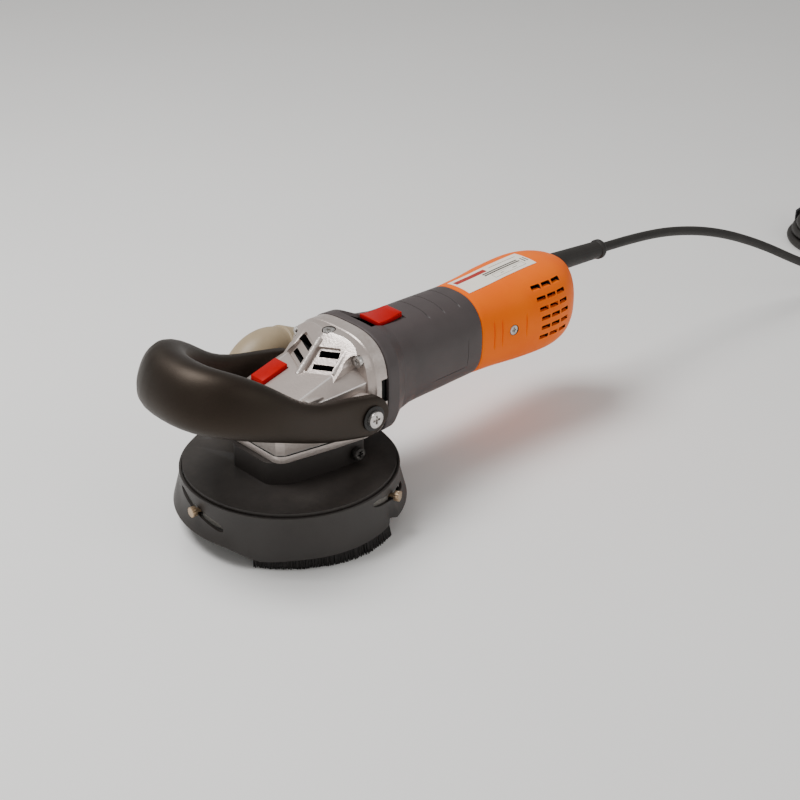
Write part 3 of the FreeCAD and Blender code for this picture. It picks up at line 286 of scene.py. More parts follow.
# a mask that is high on rubbed outer edges, broken up by noise
def makeEdgeWear():
    group, given, result = startGroup("edgeWear", [("Amount", "NodeSocketFloat", 0.5),
                                                   ("Patch Size", "NodeSocketFloat", 300)],
                                      [("Mask", "NodeSocketFloat")])
    pointed = group.nodes.new("ShaderNodeNewGeometry").outputs["Pointiness"]
    edge = stretchNode(group, pointed, *surface["rubbedEdge"])
    patch = noiseNode(group, objectPlace(group), given.outputs["Patch Size"], 4.0)
    patch = stretchNode(group, patch, *surface["rubbedPatch"])
    mask = mathNode(group, "MULTIPLY", mathNode(group, "MULTIPLY", edge, patch), given.outputs["Amount"])
    group.links.new(mask, result.inputs["Mask"])
    return group


# a mask of fine dust on faces that look up
def makeSettledDust():
    group, given, result = startGroup("settledDust", [("Amount", "NodeSocketFloat", 0.2)],
                                      [("Mask", "NodeSocketFloat")])
    facing = splitAxes(group, group.nodes.new("ShaderNodeNewGeometry").outputs["Normal"])
    patch = noiseNode(group, objectPlace(group), surface["dustSize"], 6.0)
    patch = stretchNode(group, patch, *surface["dustPatch"])
    up = stretchNode(group, facing["Z"], *surface["dustUp"])
    mask = mathNode(group, "MULTIPLY", mathNode(group, "MULTIPLY", up, patch), given.outputs["Amount"])
    group.links.new(mask, result.inputs["Mask"])
    return group


mouldedGrain, edgeWear, settledDust = makeMouldedGrain(), makeEdgeWear(), makeSettledDust()


# a screen colour, 0 to 255, as the shader wants it
def linear(red, green, blue):
    parts = []
    for value in (red, green, blue):
        share = value / 255
        parts.append(share / 12.92 if share <= 0.04045 else ((share + 0.055) / 1.055) ** 2.4)
    return (*parts, 1.0)


def mixColour(tree, mask, under, over):
    mix = tree.nodes.new("ShaderNodeMix")
    mix.data_type = "RGBA"
    tree.links.new(mask, mix.inputs["Factor"])
    tree.links.new(under, mix.inputs["A"])
    if hasattr(over, "is_output"):
        tree.links.new(over, mix.inputs["B"])
    else:
        mix.inputs["B"].default_value = over
    return mix.outputs["Result"]


def placeGroup(tree, group, values):
    node = tree.nodes.new("ShaderNodeGroup")
    node.node_tree = group
    for label, value in values.items():
        node.inputs[label].default_value = value
    return node.outputs


# every finish: grain and tone, then fine parallel lines, worn edges and dust where they are asked for
def makeFinish(name, tone, shade, rough=0.5, spread=0.1, grain=1200, height=0.3, cloud=40, metallic=0.0,
               wear=0.0, worn=(200, 195, 190), dust=0.0, coat=0.0, lines=None, sheen=0.0, gloss=0.5,
               tint=None):
    material = bpy.data.materials.new(name)
    material.use_nodes = True
    tree = material.node_tree
    shader = tree.nodes["Principled BSDF"]
    base = placeGroup(tree, mouldedGrain, {
        "Tone": linear(*tone), "Shade": linear(*shade), "Rough": rough, "Rough Spread": spread,
        "Grain Size": grain, "Grain Height": height, "Cloud Size": cloud})
    colour, normal = base["Colour"], base["Normal"]
    if lines:
        stretched = tree.nodes.new("ShaderNodeMapping")
        stretched.inputs["Scale"].default_value = lines["scale"]
        tree.links.new(objectPlace(tree), stretched.inputs["Vector"])
        streak = noiseNode(tree, stretched.outputs["Vector"], 1.0, 2.0)
        bump = tree.nodes.new("ShaderNodeBump")
        bump.inputs["Strength"].default_value = lines["depth"]
        bump.inputs["Distance"].default_value = surface["lineDepth"]
        tree.links.new(streak, bump.inputs["Height"])
        tree.links.new(normal, bump.inputs["Normal"])
        normal = bump.outputs["Normal"]
        colour = mixColour(tree, stretchNode(tree, streak, 0.45, 0.75), colour, linear(*lines["tone"]))
    if wear:
        rub = placeGroup(tree, edgeWear, {"Amount": wear})
        colour = mixColour(tree, rub["Mask"], colour, linear(*worn))
    if dust:
        film = placeGroup(tree, settledDust, {"Amount": dust})
        colour = mixColour(tree, film["Mask"], colour, linear(*surface["dustColour"]))
    tree.links.new(colour, shader.inputs["Base Color"])
    tree.links.new(base["Roughness"], shader.inputs["Roughness"])
    tree.links.new(normal, shader.inputs["Normal"])
    shader.inputs["Metallic"].default_value = metallic
    shader.inputs["Coat Weight"].default_value = coat
    shader.inputs["Coat Roughness"].default_value = surface["coatRough"]
    shader.inputs["Sheen Weight"].default_value = sheen
    shader.inputs["Specular IOR Level"].default_value = gloss
    if tint:
        shader.inputs["Specular Tint"].default_value = linear(*tint)
    return material


turned = {"scale": (300, 300, 9000), "depth": 0.25, "tone": (150, 148, 146)}
finishes = {
    "orange_plastic": makeFinish("orangePlastic", (255, 116, 0), (250, 106, 0), 0.48, 0.12, 1500, 0.2, 30,
                                 wear=0.15, worn=(255, 140, 30), gloss=0.24, tint=(255, 170, 60)),
    "grey_plastic": makeFinish("greyPlastic", (74, 66, 66), (67, 60, 60), 0.48, 0.12, 1500, 0.3, 35,
                               wear=0.3, worn=(110, 102, 100), dust=0.01),
    # the cast aluminium's bright worn edges are partly real wear and partly painted highlight
    "cast_aluminium": makeFinish("castAluminium", (200, 188, 181), (184, 172, 165), 0.34, 0.18, 700, 0.55,
                                 60, metallic=0.55, wear=0.7, worn=(240, 236, 232), dust=0.04),
    "screw_steel": makeFinish("screwSteel", (212, 208, 204), (178, 174, 170), 0.28, 0.2, 900, 0.2, 200,
                              metallic=0.85, wear=0.5, worn=(240, 240, 240)),
    "machined_steel": makeFinish("machinedSteel", (190, 190, 190), (165, 165, 166), 0.28, 0.15, 900, 0.15,
                                 120, metallic=1.0, wear=0.4, worn=(235, 235, 235), lines=turned),
    "lamination_steel": makeFinish("laminationSteel", (96, 98, 104), (76, 78, 84), 0.45, 0.2, 600, 0.2,
                                   150, metallic=0.8,
                                   lines={"scale": (2500, 60, 60), "depth": 0.8, "tone": (50, 52, 58)}),
    "copper_wire": makeFinish("copperWire", (186, 92, 48), (150, 66, 30), 0.32, 0.15, 600, 0.3, 200,
                              metallic=0.9,
                              lines={"scale": (150, 1500, 1500), "depth": 0.9, "tone": (100, 44, 22)}),
    "wheel_steel": makeFinish("wheelSteel", (88, 90, 96), (70, 72, 78), 0.4, 0.2, 800, 0.4, 80,
                              metallic=0.6, wear=0.8, worn=(190, 188, 184), dust=0.1),
    "diamond_segment": makeFinish("diamondSegment", (150, 138, 112), (112, 104, 88), 0.7, 0.2, 2200, 1.0,
                                  900, metallic=0.4, dust=0.1),
    "bronze_bush": makeFinish("bronzeBush", (176, 128, 70), (150, 104, 52), 0.3, 0.2, 900, 0.2, 200,
                              metallic=0.9),
    "brass_part": makeFinish("brassPart", (190, 164, 134), (164, 138, 108), 0.32, 0.2, 900, 0.2, 200,
                             metallic=0.7, wear=0.5, worn=(232, 216, 192), dust=0.04),
    "spring_steel": makeFinish("springSteel", (150, 152, 158), (120, 122, 128), 0.3, 0.1, 900, 0.1, 200,
                               metallic=1.0),
    "carbon": makeFinish("carbonBlock", (44, 43, 44), (30, 30, 31), 0.6, 0.2, 1500, 0.6, 300),
    "red_plastic": makeFinish("redPlastic", (180, 0, 1), (168, 0, 0), 0.36, 0.1, 1500, 0.12, 60,
                              wear=0.1, worn=(230, 60, 54), gloss=0.35, tint=(255, 120, 110)),
    "black_plastic": makeFinish("blackPlastic", (30, 28, 27), (22, 21, 20), 0.5, 0.15, 1500, 0.3, 60,
                                wear=0.3, worn=(70, 66, 62), dust=0.01),
    "blue_film": makeFinish("blueFilm", (40, 82, 142), (32, 68, 124), 0.4, 0.1, 900, 0.1, 80, coat=0.3),
    "soft_grip": makeFinish("softGrip", (25, 18, 14), (20, 15, 11), 0.46, 0.1, 1900, 0.4, 26,
                            wear=0.12, worn=(60, 50, 42), dust=0.01, gloss=0.42, tint=(255, 232, 210)),
    "hood_plastic": makeFinish("hoodPlastic", (44, 39, 36), (39, 34, 31), 0.5, 0.12, 1300, 0.3, 30,
                               wear=0.25, worn=(76, 70, 64), dust=0.015),
    "guide_felt": makeFinish("guideFelt", (120, 116, 108), (98, 94, 88), 0.95, 0.05, 2600, 1.0, 500,
                             sheen=0.3),
    "bristle": makeFinish("bristleFibre", (20, 15, 13), (11, 8, 7), 0.5, 0.2, 1800, 0.4, 700,
                          lines={"scale": (2600, 2600, 60), "depth": 0.6, "tone": (38, 31, 27)},
                          dust=0.01),
    "beige_plastic": makeFinish("beigePlastic", (168, 150, 122), (152, 134, 106), 0.46, 0.14, 1300, 0.3, 40,
                                wear=0.3, worn=(196, 182, 158), dust=0.02),
    "riser_plastic": makeFinish("riserPlastic", (62, 55, 49), (52, 46, 40), 0.5, 0.14, 1300, 0.3, 40,
                                wear=0.3, worn=(96, 88, 80), dust=0.02),
    "black_rubber": makeFinish("blackRubber", (38, 35, 32), (30, 27, 25), 0.55, 0.12, 1600, 0.4, 60,
                               wear=0.15, worn=(70, 66, 62), dust=0.01),
    "tie_fabric": makeFinish("tieFabric", (40, 40, 44), (28, 28, 32), 0.9, 0.05, 2400, 1.0, 800, sheen=0.3,
                             lines={"scale": (2400, 300, 300), "depth": 0.8, "tone": (70, 70, 76)}),
    "label_paper": makeFinish("labelPaper", (255, 249, 236), (251, 243, 228), 0.4, 0.06, 900, 0.1, 60,
                              coat=0.2),
}
darkSteel = makeFinish("darkSteel", (52, 49, 47), (40, 38, 36), 0.4, 0.15, 900, 0.3, 120, metallic=0.6,
                       wear=0.7, worn=(150, 146, 142), dust=0.02)
# bright aluminium for the bevels of the nose and crown: partly worn metal, partly painted highlight
wornHighlightAluminium = makeFinish("wornHighlightAluminium", (232, 226, 222), (214, 206, 201), 0.26, 0.16, 700, 0.4, 60,
                             metallic=0.55)
# darker grey painted shade for the faces in the grip grooves on top of the housing
paintedGrooveShade = makeFinish("paintedGrooveShade", (50, 45, 45), (44, 40, 40), 0.6, 0.1, 1500, 0.3, 35)
# near-black painted shade for the inside of the rear shell and for recesses: windows, slots and screw seats
paintedShadeInside = makeFinish("paintedShadeInside", (12, 11, 11), (8, 8, 8), 0.8, 0.1, 900, 0.2, 60)
print("finishes made")


# carried-over pieces take their finish from the record's slot

nodeFinish = {row["node"]: row["material_slot"] for row in frame["record"]["subparts"]}
for node, thing in frame["nodes"].items():
    thing.data.materials.clear()
    thing.data.materials.append(finishes[nodeFinish[node]])
bodyOf = {node: body for body, nodes in frame["record"]["behaviour"]["bodies"].items() for node in nodes}
print("nodes finished", len(nodeFinish))


# pieces made from a CAD node's own mesh, with soft edges

thumbScrews = {"angles": (176.0, 56.0, -64.0), "height": 32.0, "knobStart": 82.4, "knobSize": 12.0,
               "thinner": 0.64, "shorter": 0.55}
softEdges = {"merge": 0.003, "flat": 0.6, "angle": 32,
             "cornerAngle": 12, "cornerHeight": 5.0, "upright": 0.98}
# a thin near-black band of painted shade along the parting line at the top of the lid
partingLineShade = {"height": 0.7, "colour": (14, 12, 11)}


def slimKnobs(bm):
    start, middle = thumbScrews["knobStart"], Vector((0, 0, thumbScrews["height"]))
    for angle in thumbScrews["angles"]:
        out = outward(angle)
        for vert in bm.verts:
            reach = vert.co.dot(out)
            side = vert.co - out * reach - middle
            if reach > start - 0.1 and side.length < thumbScrews["knobSize"]:
                reach = start + (reach - start) * thumbScrews["shorter"]
                vert.co = out * reach + side * thumbScrews["thinner"] + middle


# the cast finish with a thin dark band of painted shade along the parting line under the gear housing
def makeLidFinish():
    material = finishes["cast_aluminium"].copy()
    material.name = "lidAluminium"
    tree = material.node_tree
    shader = tree.nodes["Principled BSDF"]
    top = corners("gear_cover_plate")[1].z
    place = splitAxes(tree, objectPlace(tree))
    line = mathNode(tree, "GREATER_THAN", place["Z"], (top - partingLineShade["height"]) * mm)
    cast = shader.inputs["Base Color"].links[0].from_socket
    colour = mixColour(tree, line, cast, linear(*partingLineShade["colour"]))
    tree.links.new(colour, shader.inputs["Base Color"])
    return material


specialFinish = {"gear_cover_plate": makeLidFinish(), "hood_clamp_bolt": darkSteel,
                 "hood_clamp_band": darkSteel, "handle_washers": finishes["black_plastic"]}


# a node's own mesh, with its sharp edges rounded by width and its upright corners by corner
def makeSoftEdged(name, node, width, corner):
    bm = bmesh.new()
    bm.from_mesh(frame["nodes"][node].data)
    bmesh.ops.scale(bm, vec=(1 / mm, 1 / mm, 1 / mm), verts=bm.verts)
    if node == "hood_thumb_screws":
        slimKnobs(bm)
    bmesh.ops.remove_doubles(bm, verts=bm.verts, dist=softEdges["merge"])
    bmesh.ops.dissolve_limit(bm, angle_limit=math.radians(softEdges["flat"]),
                             verts=bm.verts, edges=bm.edges)
    if corner:
        upright = [e for e in sharpEdges(bm, softEdges["cornerAngle"])
                   if abs(edgeDirection(e).z) > softEdges["upright"]
                   and e.calc_length() > softEdges["cornerHeight"]]
        roundEdges(bm, upright, corner, 5)
    roundEdges(bm, sharpEdges(bm, softEdges["angle"]), width, 2)
    slot = nodeFinish[node]
    material = specialFinish.get(node, finishes[slot])
    return finishPiece(name, bm, [material], bodyOf[node], node, turnOut=False)


# the camera

lens = {"azimuth": -43.5, "elevation": 28.2, "roll": 0.6, "distance": 1.3,
        "target": (0.1102, 0.0, 0.0536), "focal": 76.4, "nearest": 0.05, "farthest": 20}


def makeCamera():
    turn, rise = math.radians(lens["azimuth"]), math.radians(lens["elevation"])
    back = Vector((math.sin(turn) * math.cos(rise), -math.cos(turn) * math.cos(rise), math.sin(rise)))
    target = Vector(lens["target"])
    camera = bpy.data.objects.new("camera", bpy.data.cameras.new("camera"))
    scene.collection.objects.link(camera)
    camera.data.lens = lens["focal"]
    camera.data.clip_start, camera.data.clip_end = lens["nearest"], lens["farthest"]
    facing = (-back).to_track_quat("-Z", "Y").to_matrix().to_4x4()
    roll = Matrix.Rotation(math.radians(lens["roll"]), 4, "Z")
    camera.matrix_world = Matrix.Translation(target + back * lens["distance"]) @ facing @ roll
    scene.camera = camera


makeCamera()


# the mains cord: the route is in metres, and the coil's turns follow it in the same spline

cordShape = {
    "radius": 0.004, "length": 2.56, "turnPoints": 20,
    "route": [(0.338, 0, 0.1145), (0.385, 0.0005, 0.1113), (0.437, -0.002, 0.104),
              (0.489, -0.009, 0.090), (0.539, -0.020, 0.068), (0.586, -0.033, 0.041),
              (0.634, -0.043, 0.017), (0.686, -0.046, 0.0042)],
    "coilCentre": (0.746, 0.015), "firstAngle": -98, "changeFrom": 0.66, "hump": 0.0014,
    "turns": [(0.056, 0.0042), (0.048, 0.0042), (0.040, 0.0042), (0.036, 0.0112), (0.044, 0.0112),
              (0.052, 0.0112), (0.048, 0.0182)],
    "tail": [(0.7605, -0.0385, 0.0165), (0.784, -0.048, 0.0135), (0.805, -0.0435, 0.012),
             (0.8185, -0.030, 0.0125), (0.8243, -0.015, 0.0144), (0.8243, -0.006, 0.0146)],
}


# turns a diameter apart; each moves to the next radius and height over its last third
def coilPoints():
    places, (middleX, middleY) = cordShape["turns"], cordShape["coilCentre"]
    count, changeFrom = cordShape["turnPoints"], cordShape["changeFrom"]
    tighten = 1 / math.cos(math.pi / count)
    points = []
    for turn, (radius, height) in enumerate(places):
        nextRadius, nextHeight = places[min(turn + 1, len(places) - 1)]
        for step in range(count):
            share = max(0.0, (step / count - changeFrom) / (1 - changeFrom))
            angle = math.radians(cordShape["firstAngle"]) + 2 * math.pi * step / count
            r = (radius + (nextRadius - radius) * share) * tighten
            hump = cordShape["hump"] * math.sin(math.pi * share) if turn > 2 else 0.0
            points.append((middleX + r * math.cos(angle), middleY + r * math.sin(angle),
                           height + (nextHeight - height) * share + hump))
    return points


def makeCord():
    onCord = [makeSoftEdged("plug_body", "mains_plug", 1.6, 0.0),
              makeSoftEdged("plug_pin_pair", "plug_pins", 0.5, 0.0),
              makeSoftEdged("coil_tie", "cord_tie", 0.3, 0.0)]
    curve = bpy.data.curves.new("power_cord", "CURVE")
    curve.dimensions = "3D"
    spline = curve.splines.new("NURBS")
    points = cordShape["route"] + coilPoints() + cordShape["tail"]
    spline.points.add(len(points) - 1)
    for point, place in zip(spline.points, points):
        point.co = (*place, 1.0)
    spline.order_u = 3
    spline.use_endpoint_u = True
    spline.resolution_u = 8
    curve.bevel_depth = cordShape["radius"]
    curve.bevel_resolution = 5
    curve.use_fill_caps = True
    curve.materials.append(finishes["black_rubber"])
    piece = bpy.data.objects.new("power_cord", curve)
    scene.collection.objects.link(piece)
    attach(piece, "base")
    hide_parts("mains_cord", "cord_coil")


makeCord()
print("camera and cord made")


# the motor housing, a smooth shell with a flange at its front, the switch bed and grip grooves

housing = {
    "sections": [(57.0, 89.0, 86.0, 3.0), (68.0, 88.0, 85.0, 3.0), (80.0, 74.0, 73.5, 2.8),
                 (95.0, 68.0, 70.5, 2.6), (130.0, 66.0, 70.0, 2.5), (166.0, 64.0, 69.0, 2.5)],
    "wall": 2.8, "axis": 95.0,
    "frontRim": ((57.05, 0.9), (57.3, 0.35)), "backRim": ((165.6, 0.2), (165.95, 0.8)),
    "bell": (58.0, 60.0, 64.0, 67.2, 68.0, 68.8, 70.0, 72.5, 75.0, 77.5, 79.2, 80.0, 80.8),
    "grip": (82.5, 165.0, 2.5), "gripSmooth": 95.0,
    "insideGrip": (165.95, 157.0, 144.0, 130.0, 112.0, 95.0), "insideBell": (80.0, 68.0, 57.05),
    "grooves": (121.5, 137.0, 153.0), "grooveDepth": 1.2, "grooveHalf": 20.0,
    "shadeWidth": 0.36, "shadeReach": 0.8, "shadeShort": 1.5,
    "panelFront": 104.0, "panelEnd": 150.5, "panelMiddle": 92.0, "panelHalf": 12.0, "panelDepth": 0.5,
    "panelLine": ((30.6, 31.6), (79.75, 80.25)),
    "bed": ((128.8, 0.0), (130.0, 0.3), (150.0, 17.0)), "bedAhead": 8.0, "bedBehind": 1.0, "bedGap": 0.6,
    "neck": ((-2.0, 19.5), (-4.5, 4.5), (120.0, 129.5)),
}
cover = {
    "sections": [(166.0, 64.0, 69.0, 2.5), (190.0, 68.0, 71.0, 2.5), (215.0, 73.0, 74.0, 2.6),
                 (245.0, 75.0, 75.6, 2.6), (262.0, 69.5, 72.8, 2.5), (274.0, 57.0, 66.5, 2.4),
                 (281.0, 44.0, 58.5, 2.4)],
    "wall": 2.6, "frontRim": ((166.1, 0.8), (166.5, 0.2)), "shell": (167.5, 279.0, 2.5),
    "endRim": ((280.2, 1.2), (280.8, 3.0), (281.0, 6.0), (281.0, 18.0)),
    "insideEnd": ((278.4, 15.4), (278.4, 3.0)),
    "inside": (274.0, 262.0, 250.0, 235.0, 220.0, 205.0, 190.0, 178.0, 166.1),
    "grooves": ((178.5, 12.0), (186.5, 11.0), (211.0, 9.0)), "grooveDepth": 1.3, "grooveMiddle": 98.0,
    "ventColumns": 3, "ventPitch": 8.2, "ventLow": 79.9, "ventStart": 226.0,
    "ventShift": (0.3, 1.3, 1.0, -1.0, -2.8, -4.6), "ventLength": 9.4, "ventStep": 11.2, "ventTall": 3.4,
    "ventRound": 0.7, "ventSpan": (20.0, 60.0), "screwSeat": (2.4, 4.4),
    "sleeveHole": ((270.0, 0, 119.1), (300.0, 0, 117.1), 8.15), "paintedShadeUpTo": 279.5, "paintedShadeReach": 0.92,
}


# width, height and roundness at x, on a smooth curve through the sections or straight between them
def sectionAt(sections, x, smooth=True):
    last = len(sections) - 1
    i = max(k for k in range(last) if sections[k][0] <= x + 1e-6 or k == 0)
    here, there = sections[i], sections[i + 1]
    span = there[0] - here[0]
    t = min(1.0, max(0.0, (x - here[0]) / span))
    before, after = sections[max(0, i - 1)], sections[min(last, i + 2)]
    values = []
    for k in (1, 2, 3):
        if not smooth:
            values.append(here[k] + (there[k] - here[k]) * t)
            continue
        slopeA = (there[k] - before[k]) / (there[0] - before[0]) * span
        slopeB = (after[k] - here[k]) / (after[0] - here[0]) * span
        values.append((2 * t ** 3 - 3 * t ** 2 + 1) * here[k] + (t ** 3 - 2 * t ** 2 + t) * slopeA
                      + (3 * t ** 2 - 2 * t ** 3) * there[k] + (t ** 3 - t ** 2) * slopeB)
    return values


# even places from start to end, and close ones around each groove
def placesAlong(start, end, step, grooves):
    count = int((end - start) / step)
    places = {round(start + (end - start) * k / count, 2) for k in range(count + 1)}
    places = {p for p in places if all(abs(p - x) > 2.2 for x in grooves)}
    for x in grooves:
        places |= {round(x + shift, 2) for shift in (-2.0, -1.2, -0.7, -0.35, 0.0, 0.35, 0.7, 1.2, 2.0)}
    return sorted(places)


# 1 on the outside of the section at this x, and less inside it
def reachOf(sections, place):
    width, height, power = sectionAt(sections, place.x)
    return abs(2 * place.y / width) ** power + abs(2 * (place.z - housing["axis"]) / height) ** power


# sinks the loops near x in a rounded groove, as deep as inside(place) says from 0 to 1
def pressGroove(bm, x, depth, inside, half=0.75):
    for vert in bm.verts:
        away = abs(vert.co.x - x)
        if away < half:
            share = inside(vert.co)
            if share > 0:
                towards = Vector((0, -vert.co.y, housing["axis"] - vert.co.z)).normalized()
                vert.co += towards * depth * share * 0.5 * (1 + math.cos(math.pi * away / half))


def fade(distance, limit, width=3.0):
    return min(1.0, max(0.0, (limit - distance) / width))


def rimLoop(bm, sections, x, inset, smooth=True):
    width, height, power = sectionAt(sections, x, smooth)
    return addLoop(bm, ovalPoints(x, width - 2 * inset, height - 2 * inset, power, housing["axis"], 96))


def makeHousing():
    bm = bmesh.new()
    sections, wall = housing["sections"], housing["wall"]
    grooves = housing["grooves"] + (housing["panelEnd"],)
    loops = [rimLoop(bm, sections, x, inset, False) for x, inset in housing["frontRim"]]
    loops += [rimLoop(bm, sections, x, 0.0, False) for x in housing["bell"]]
    loops += [rimLoop(bm, sections, x, 0.0, x > housing["gripSmooth"])
              for x in placesAlong(*housing["grip"], grooves)]
    loops += [rimLoop(bm, sections, x, inset) for x, inset in housing["backRim"]]
    loops += [rimLoop(bm, sections, x, wall) for x in housing["insideGrip"]]
    loops += [rimLoop(bm, sections, x, wall, False) for x in housing["insideBell"]]
    joinLoops(bm, loops + loops[:1])
    for x in housing["grooves"]:
        pressGroove(bm, x, housing["grooveDepth"], lambda place:
                    fade(abs(place.y), housing["grooveHalf"]) if place.z > housing["axis"] else 0.0)
    pressGroove(bm, housing["panelEnd"], housing["panelDepth"],
                lambda place: fade(abs(place.z - housing["panelMiddle"]), housing["panelHalf"], 2.0), 0.5)
    low, high = corners("switch_slider")
    front, back = low.x - housing["bedAhead"], high.x + housing["bedBehind"]
    half = high.y + housing["bedGap"]
    bed, neck = bmesh.new(), bmesh.new()
    walls = [addLoop(bed, [(front - grow, -half - grow, z), (back + grow, -half - grow, z),
                           (back + grow, half + grow, z), (front - grow, half + grow, z)])
             for z, grow in housing["bed"]]
    joinLoops(bed, walls, True)
    along, across, upward = housing["neck"]
    block(neck, (low.x + along[0], low.x + along[1]), across, upward)
    tools = [bed, neck]
    for side in (-1, 1):
        line = bmesh.new()
        span, rise = housing["panelLine"]
        block(line, (housing["panelFront"], housing["panelEnd"]), sideSpan(side, *span), rise)
        tools.append(line)
    bm = combined(bm, tools)
    # the faces along the grooves on top of the grip get painted shade
    for face in bm.faces:
        place = face.calc_center_median()
        away = min(abs(place.x - x) for x in housing["grooves"])
        inGroove = away < housing["shadeWidth"] and place.z > housing["axis"]
        onTop = abs(place.y) < housing["grooveHalf"] - housing["shadeShort"]
        outside = reachOf(sections, place) > housing["shadeReach"]
        face.material_index = paintedShadeFace if inGroove and onTop and outside else plainFace
    finishPiece("grip_housing", bm, [finishes["grey_plastic"], paintedGrooveShade], "base", "motor_housing",
                32, turnOut=False)


def makeRearCover():
    bm = bmesh.new()
    sections, wall = cover["sections"], cover["wall"]
    grooves = [x for x, half in cover["grooves"]]
    loops = [rimLoop(bm, sections, x, inset) for x, inset in cover["frontRim"]]
    loops += [rimLoop(bm, sections, x, 0.0) for x in placesAlong(*cover["shell"], grooves)]
    loops += [rimLoop(bm, sections, x, inset) for x, inset in cover["endRim"]]
    inner = [rimLoop(bm, sections, x, wall + inset) for x, inset in cover["insideEnd"]]
    inner += [rimLoop(bm, sections, x, wall) for x in cover["inside"]]
    joinLoops(bm, loops)
    joinLoops(bm, inner)
    bmesh.ops.bridge_loops(bm, edges=inner[-1] + loops[0])
    for rim in (loops[-1], inner[0]):
        bmesh.ops.edgeloop_fill(bm, edges=rim)
    bmesh.ops.recalc_face_normals(bm, faces=bm.faces)
    for x, half in cover["grooves"]:
        pressGroove(bm, x, cover["grooveDepth"],
                    lambda place, half=half: fade(abs(place.z - cover["grooveMiddle"]), half, 3.0))
    vents, relief = bmesh.new(), bmesh.new()
    screwLow, screwHigh = corners("rear_cover_screws")
    middle = (screwLow + screwHigh) / 2
    seatDepth, seatRadius = cover["screwSeat"]
    for side in (-1, 1):
        for row, shift in enumerate(cover["ventShift"]):
            z = cover["ventLow"] + cover["ventPitch"] * row
            for k in range(cover["ventColumns"]):
                x = cover["ventStart"] + shift + cover["ventStep"] * k
                block(vents, (x, x + cover["ventLength"]), sideSpan(side, *cover["ventSpan"]),
                      (z, z + cover["ventTall"]), cover["ventRound"])
        cylinder(vents, (middle.x, side * (screwHigh.y - seatDepth), middle.z),
                 (middle.x, side * cover["ventSpan"][1], middle.z), seatRadius)
    cylinder(relief, *cover["sleeveHole"])
    bm = combined(bm, [vents, relief])
    # the faces inside the shell, seen through the vents, get the near-black painted shade
    for face in bm.faces:
        place = face.calc_center_median()
        inside = place.x < cover["paintedShadeUpTo"] and reachOf(sections, place) < cover["paintedShadeReach"]
        face.material_index = paintedShadeFace if inside else plainFace
    finishPiece("rear_shell", bm, [finishes["orange_plastic"], paintedShadeInside], "base", "rear_cover",
                32, turnOut=False)


makeHousing()
makeRearCover()
print("housings made")


# the rating label, with plain bars and a box for its print

label = {
    "front": 170.5, "rear": 245.5, "half": 11.9, "lift": 0.12, "thick": 0.3, "grid": (48, 16),
    "bars": ((172.6, 205.5, 3.4, 8.4, (172, 34, 26)), (198, 236, 0.4, 2.0, (70, 62, 58)),
             (198, 237, -2.1, -0.4, (76, 68, 63)), (210, 240, 6.4, 7.1, (150, 130, 116)),
             (211, 214, -6.6, -5.9, (120, 110, 100)), (224, 229, -6.6, -5.9, (120, 110, 100)),
             (239.6, 240.8, -5.0, 1.6, (50, 44, 40)), (242.6, 243.8, -5.0, 1.6, (50, 44, 40))),
    "frame": (203, 237, -9.0, -3.6), "frameLine": 0.35, "frameColour": (110, 100, 92),
}


def makeLabelFinish():
    material = finishes["label_paper"].copy()
    material.name = "printedLabel"
    tree = material.node_tree
    shader = tree.nodes["Principled BSDF"]
    place = splitAxes(tree, objectPlace(tree))
    colour = shader.inputs["Base Color"].links[0].from_socket

    def inside(x0, x1, y0, y1):
        mask = mathNode(tree, "GREATER_THAN", place["X"], x0 * mm)
        mask = mathNode(tree, "MULTIPLY", mask, mathNode(tree, "LESS_THAN", place["X"], x1 * mm))
        mask = mathNode(tree, "MULTIPLY", mask, mathNode(tree, "GREATER_THAN", place["Y"], y0 * mm))
        return mathNode(tree, "MULTIPLY", mask, mathNode(tree, "LESS_THAN", place["Y"], y1 * mm))

    for x0, x1, y0, y1, tone in label["bars"]:
        colour = mixColour(tree, inside(x0, x1, y0, y1), colour, linear(*tone))
    (x0, x1, y0, y1), line = label["frame"], label["frameLine"]
    hollow = inside(x0 + line, x1 - line, y0 + line, y1 - line)
    ring = mathNode(tree, "SUBTRACT", inside(x0, x1, y0, y1), hollow)
    colour = mixColour(tree, ring, colour, linear(*label["frameColour"]))
    tree.links.new(colour, shader.inputs["Base Color"])
    return material


def makeLabel():
    bm = bmesh.new()
    columns, rows = label["grid"]
    grid = bmesh.ops.create_grid(bm, x_segments=columns, y_segments=rows, size=0.5)["verts"]
    for vert in grid:
        x = (label["front"] + label["rear"]) / 2 + vert.co.x * (label["rear"] - label["front"])
        y = vert.co.y * 2 * label["half"]
        width, height, power = sectionAt(cover["sections"], x)
        top = height / 2 * (1 - abs(2 * y / width) ** power) ** (1 / power)
        vert.co = (x, y, housing["axis"] + top + label["lift"] + label["thick"])
    bmesh.ops.recalc_face_normals(bm, faces=bm.faces)
    if bm.faces[:][0].normal.z < 0:
        bmesh.ops.reverse_faces(bm, faces=bm.faces)
    bmesh.ops.solidify(bm, geom=bm.faces[:], thickness=label["thick"])
    finishPiece("type_label", bm, [makeLabelFinish()], "base", "rating_label")


makeLabel()
print("label made")


# the cast gear head

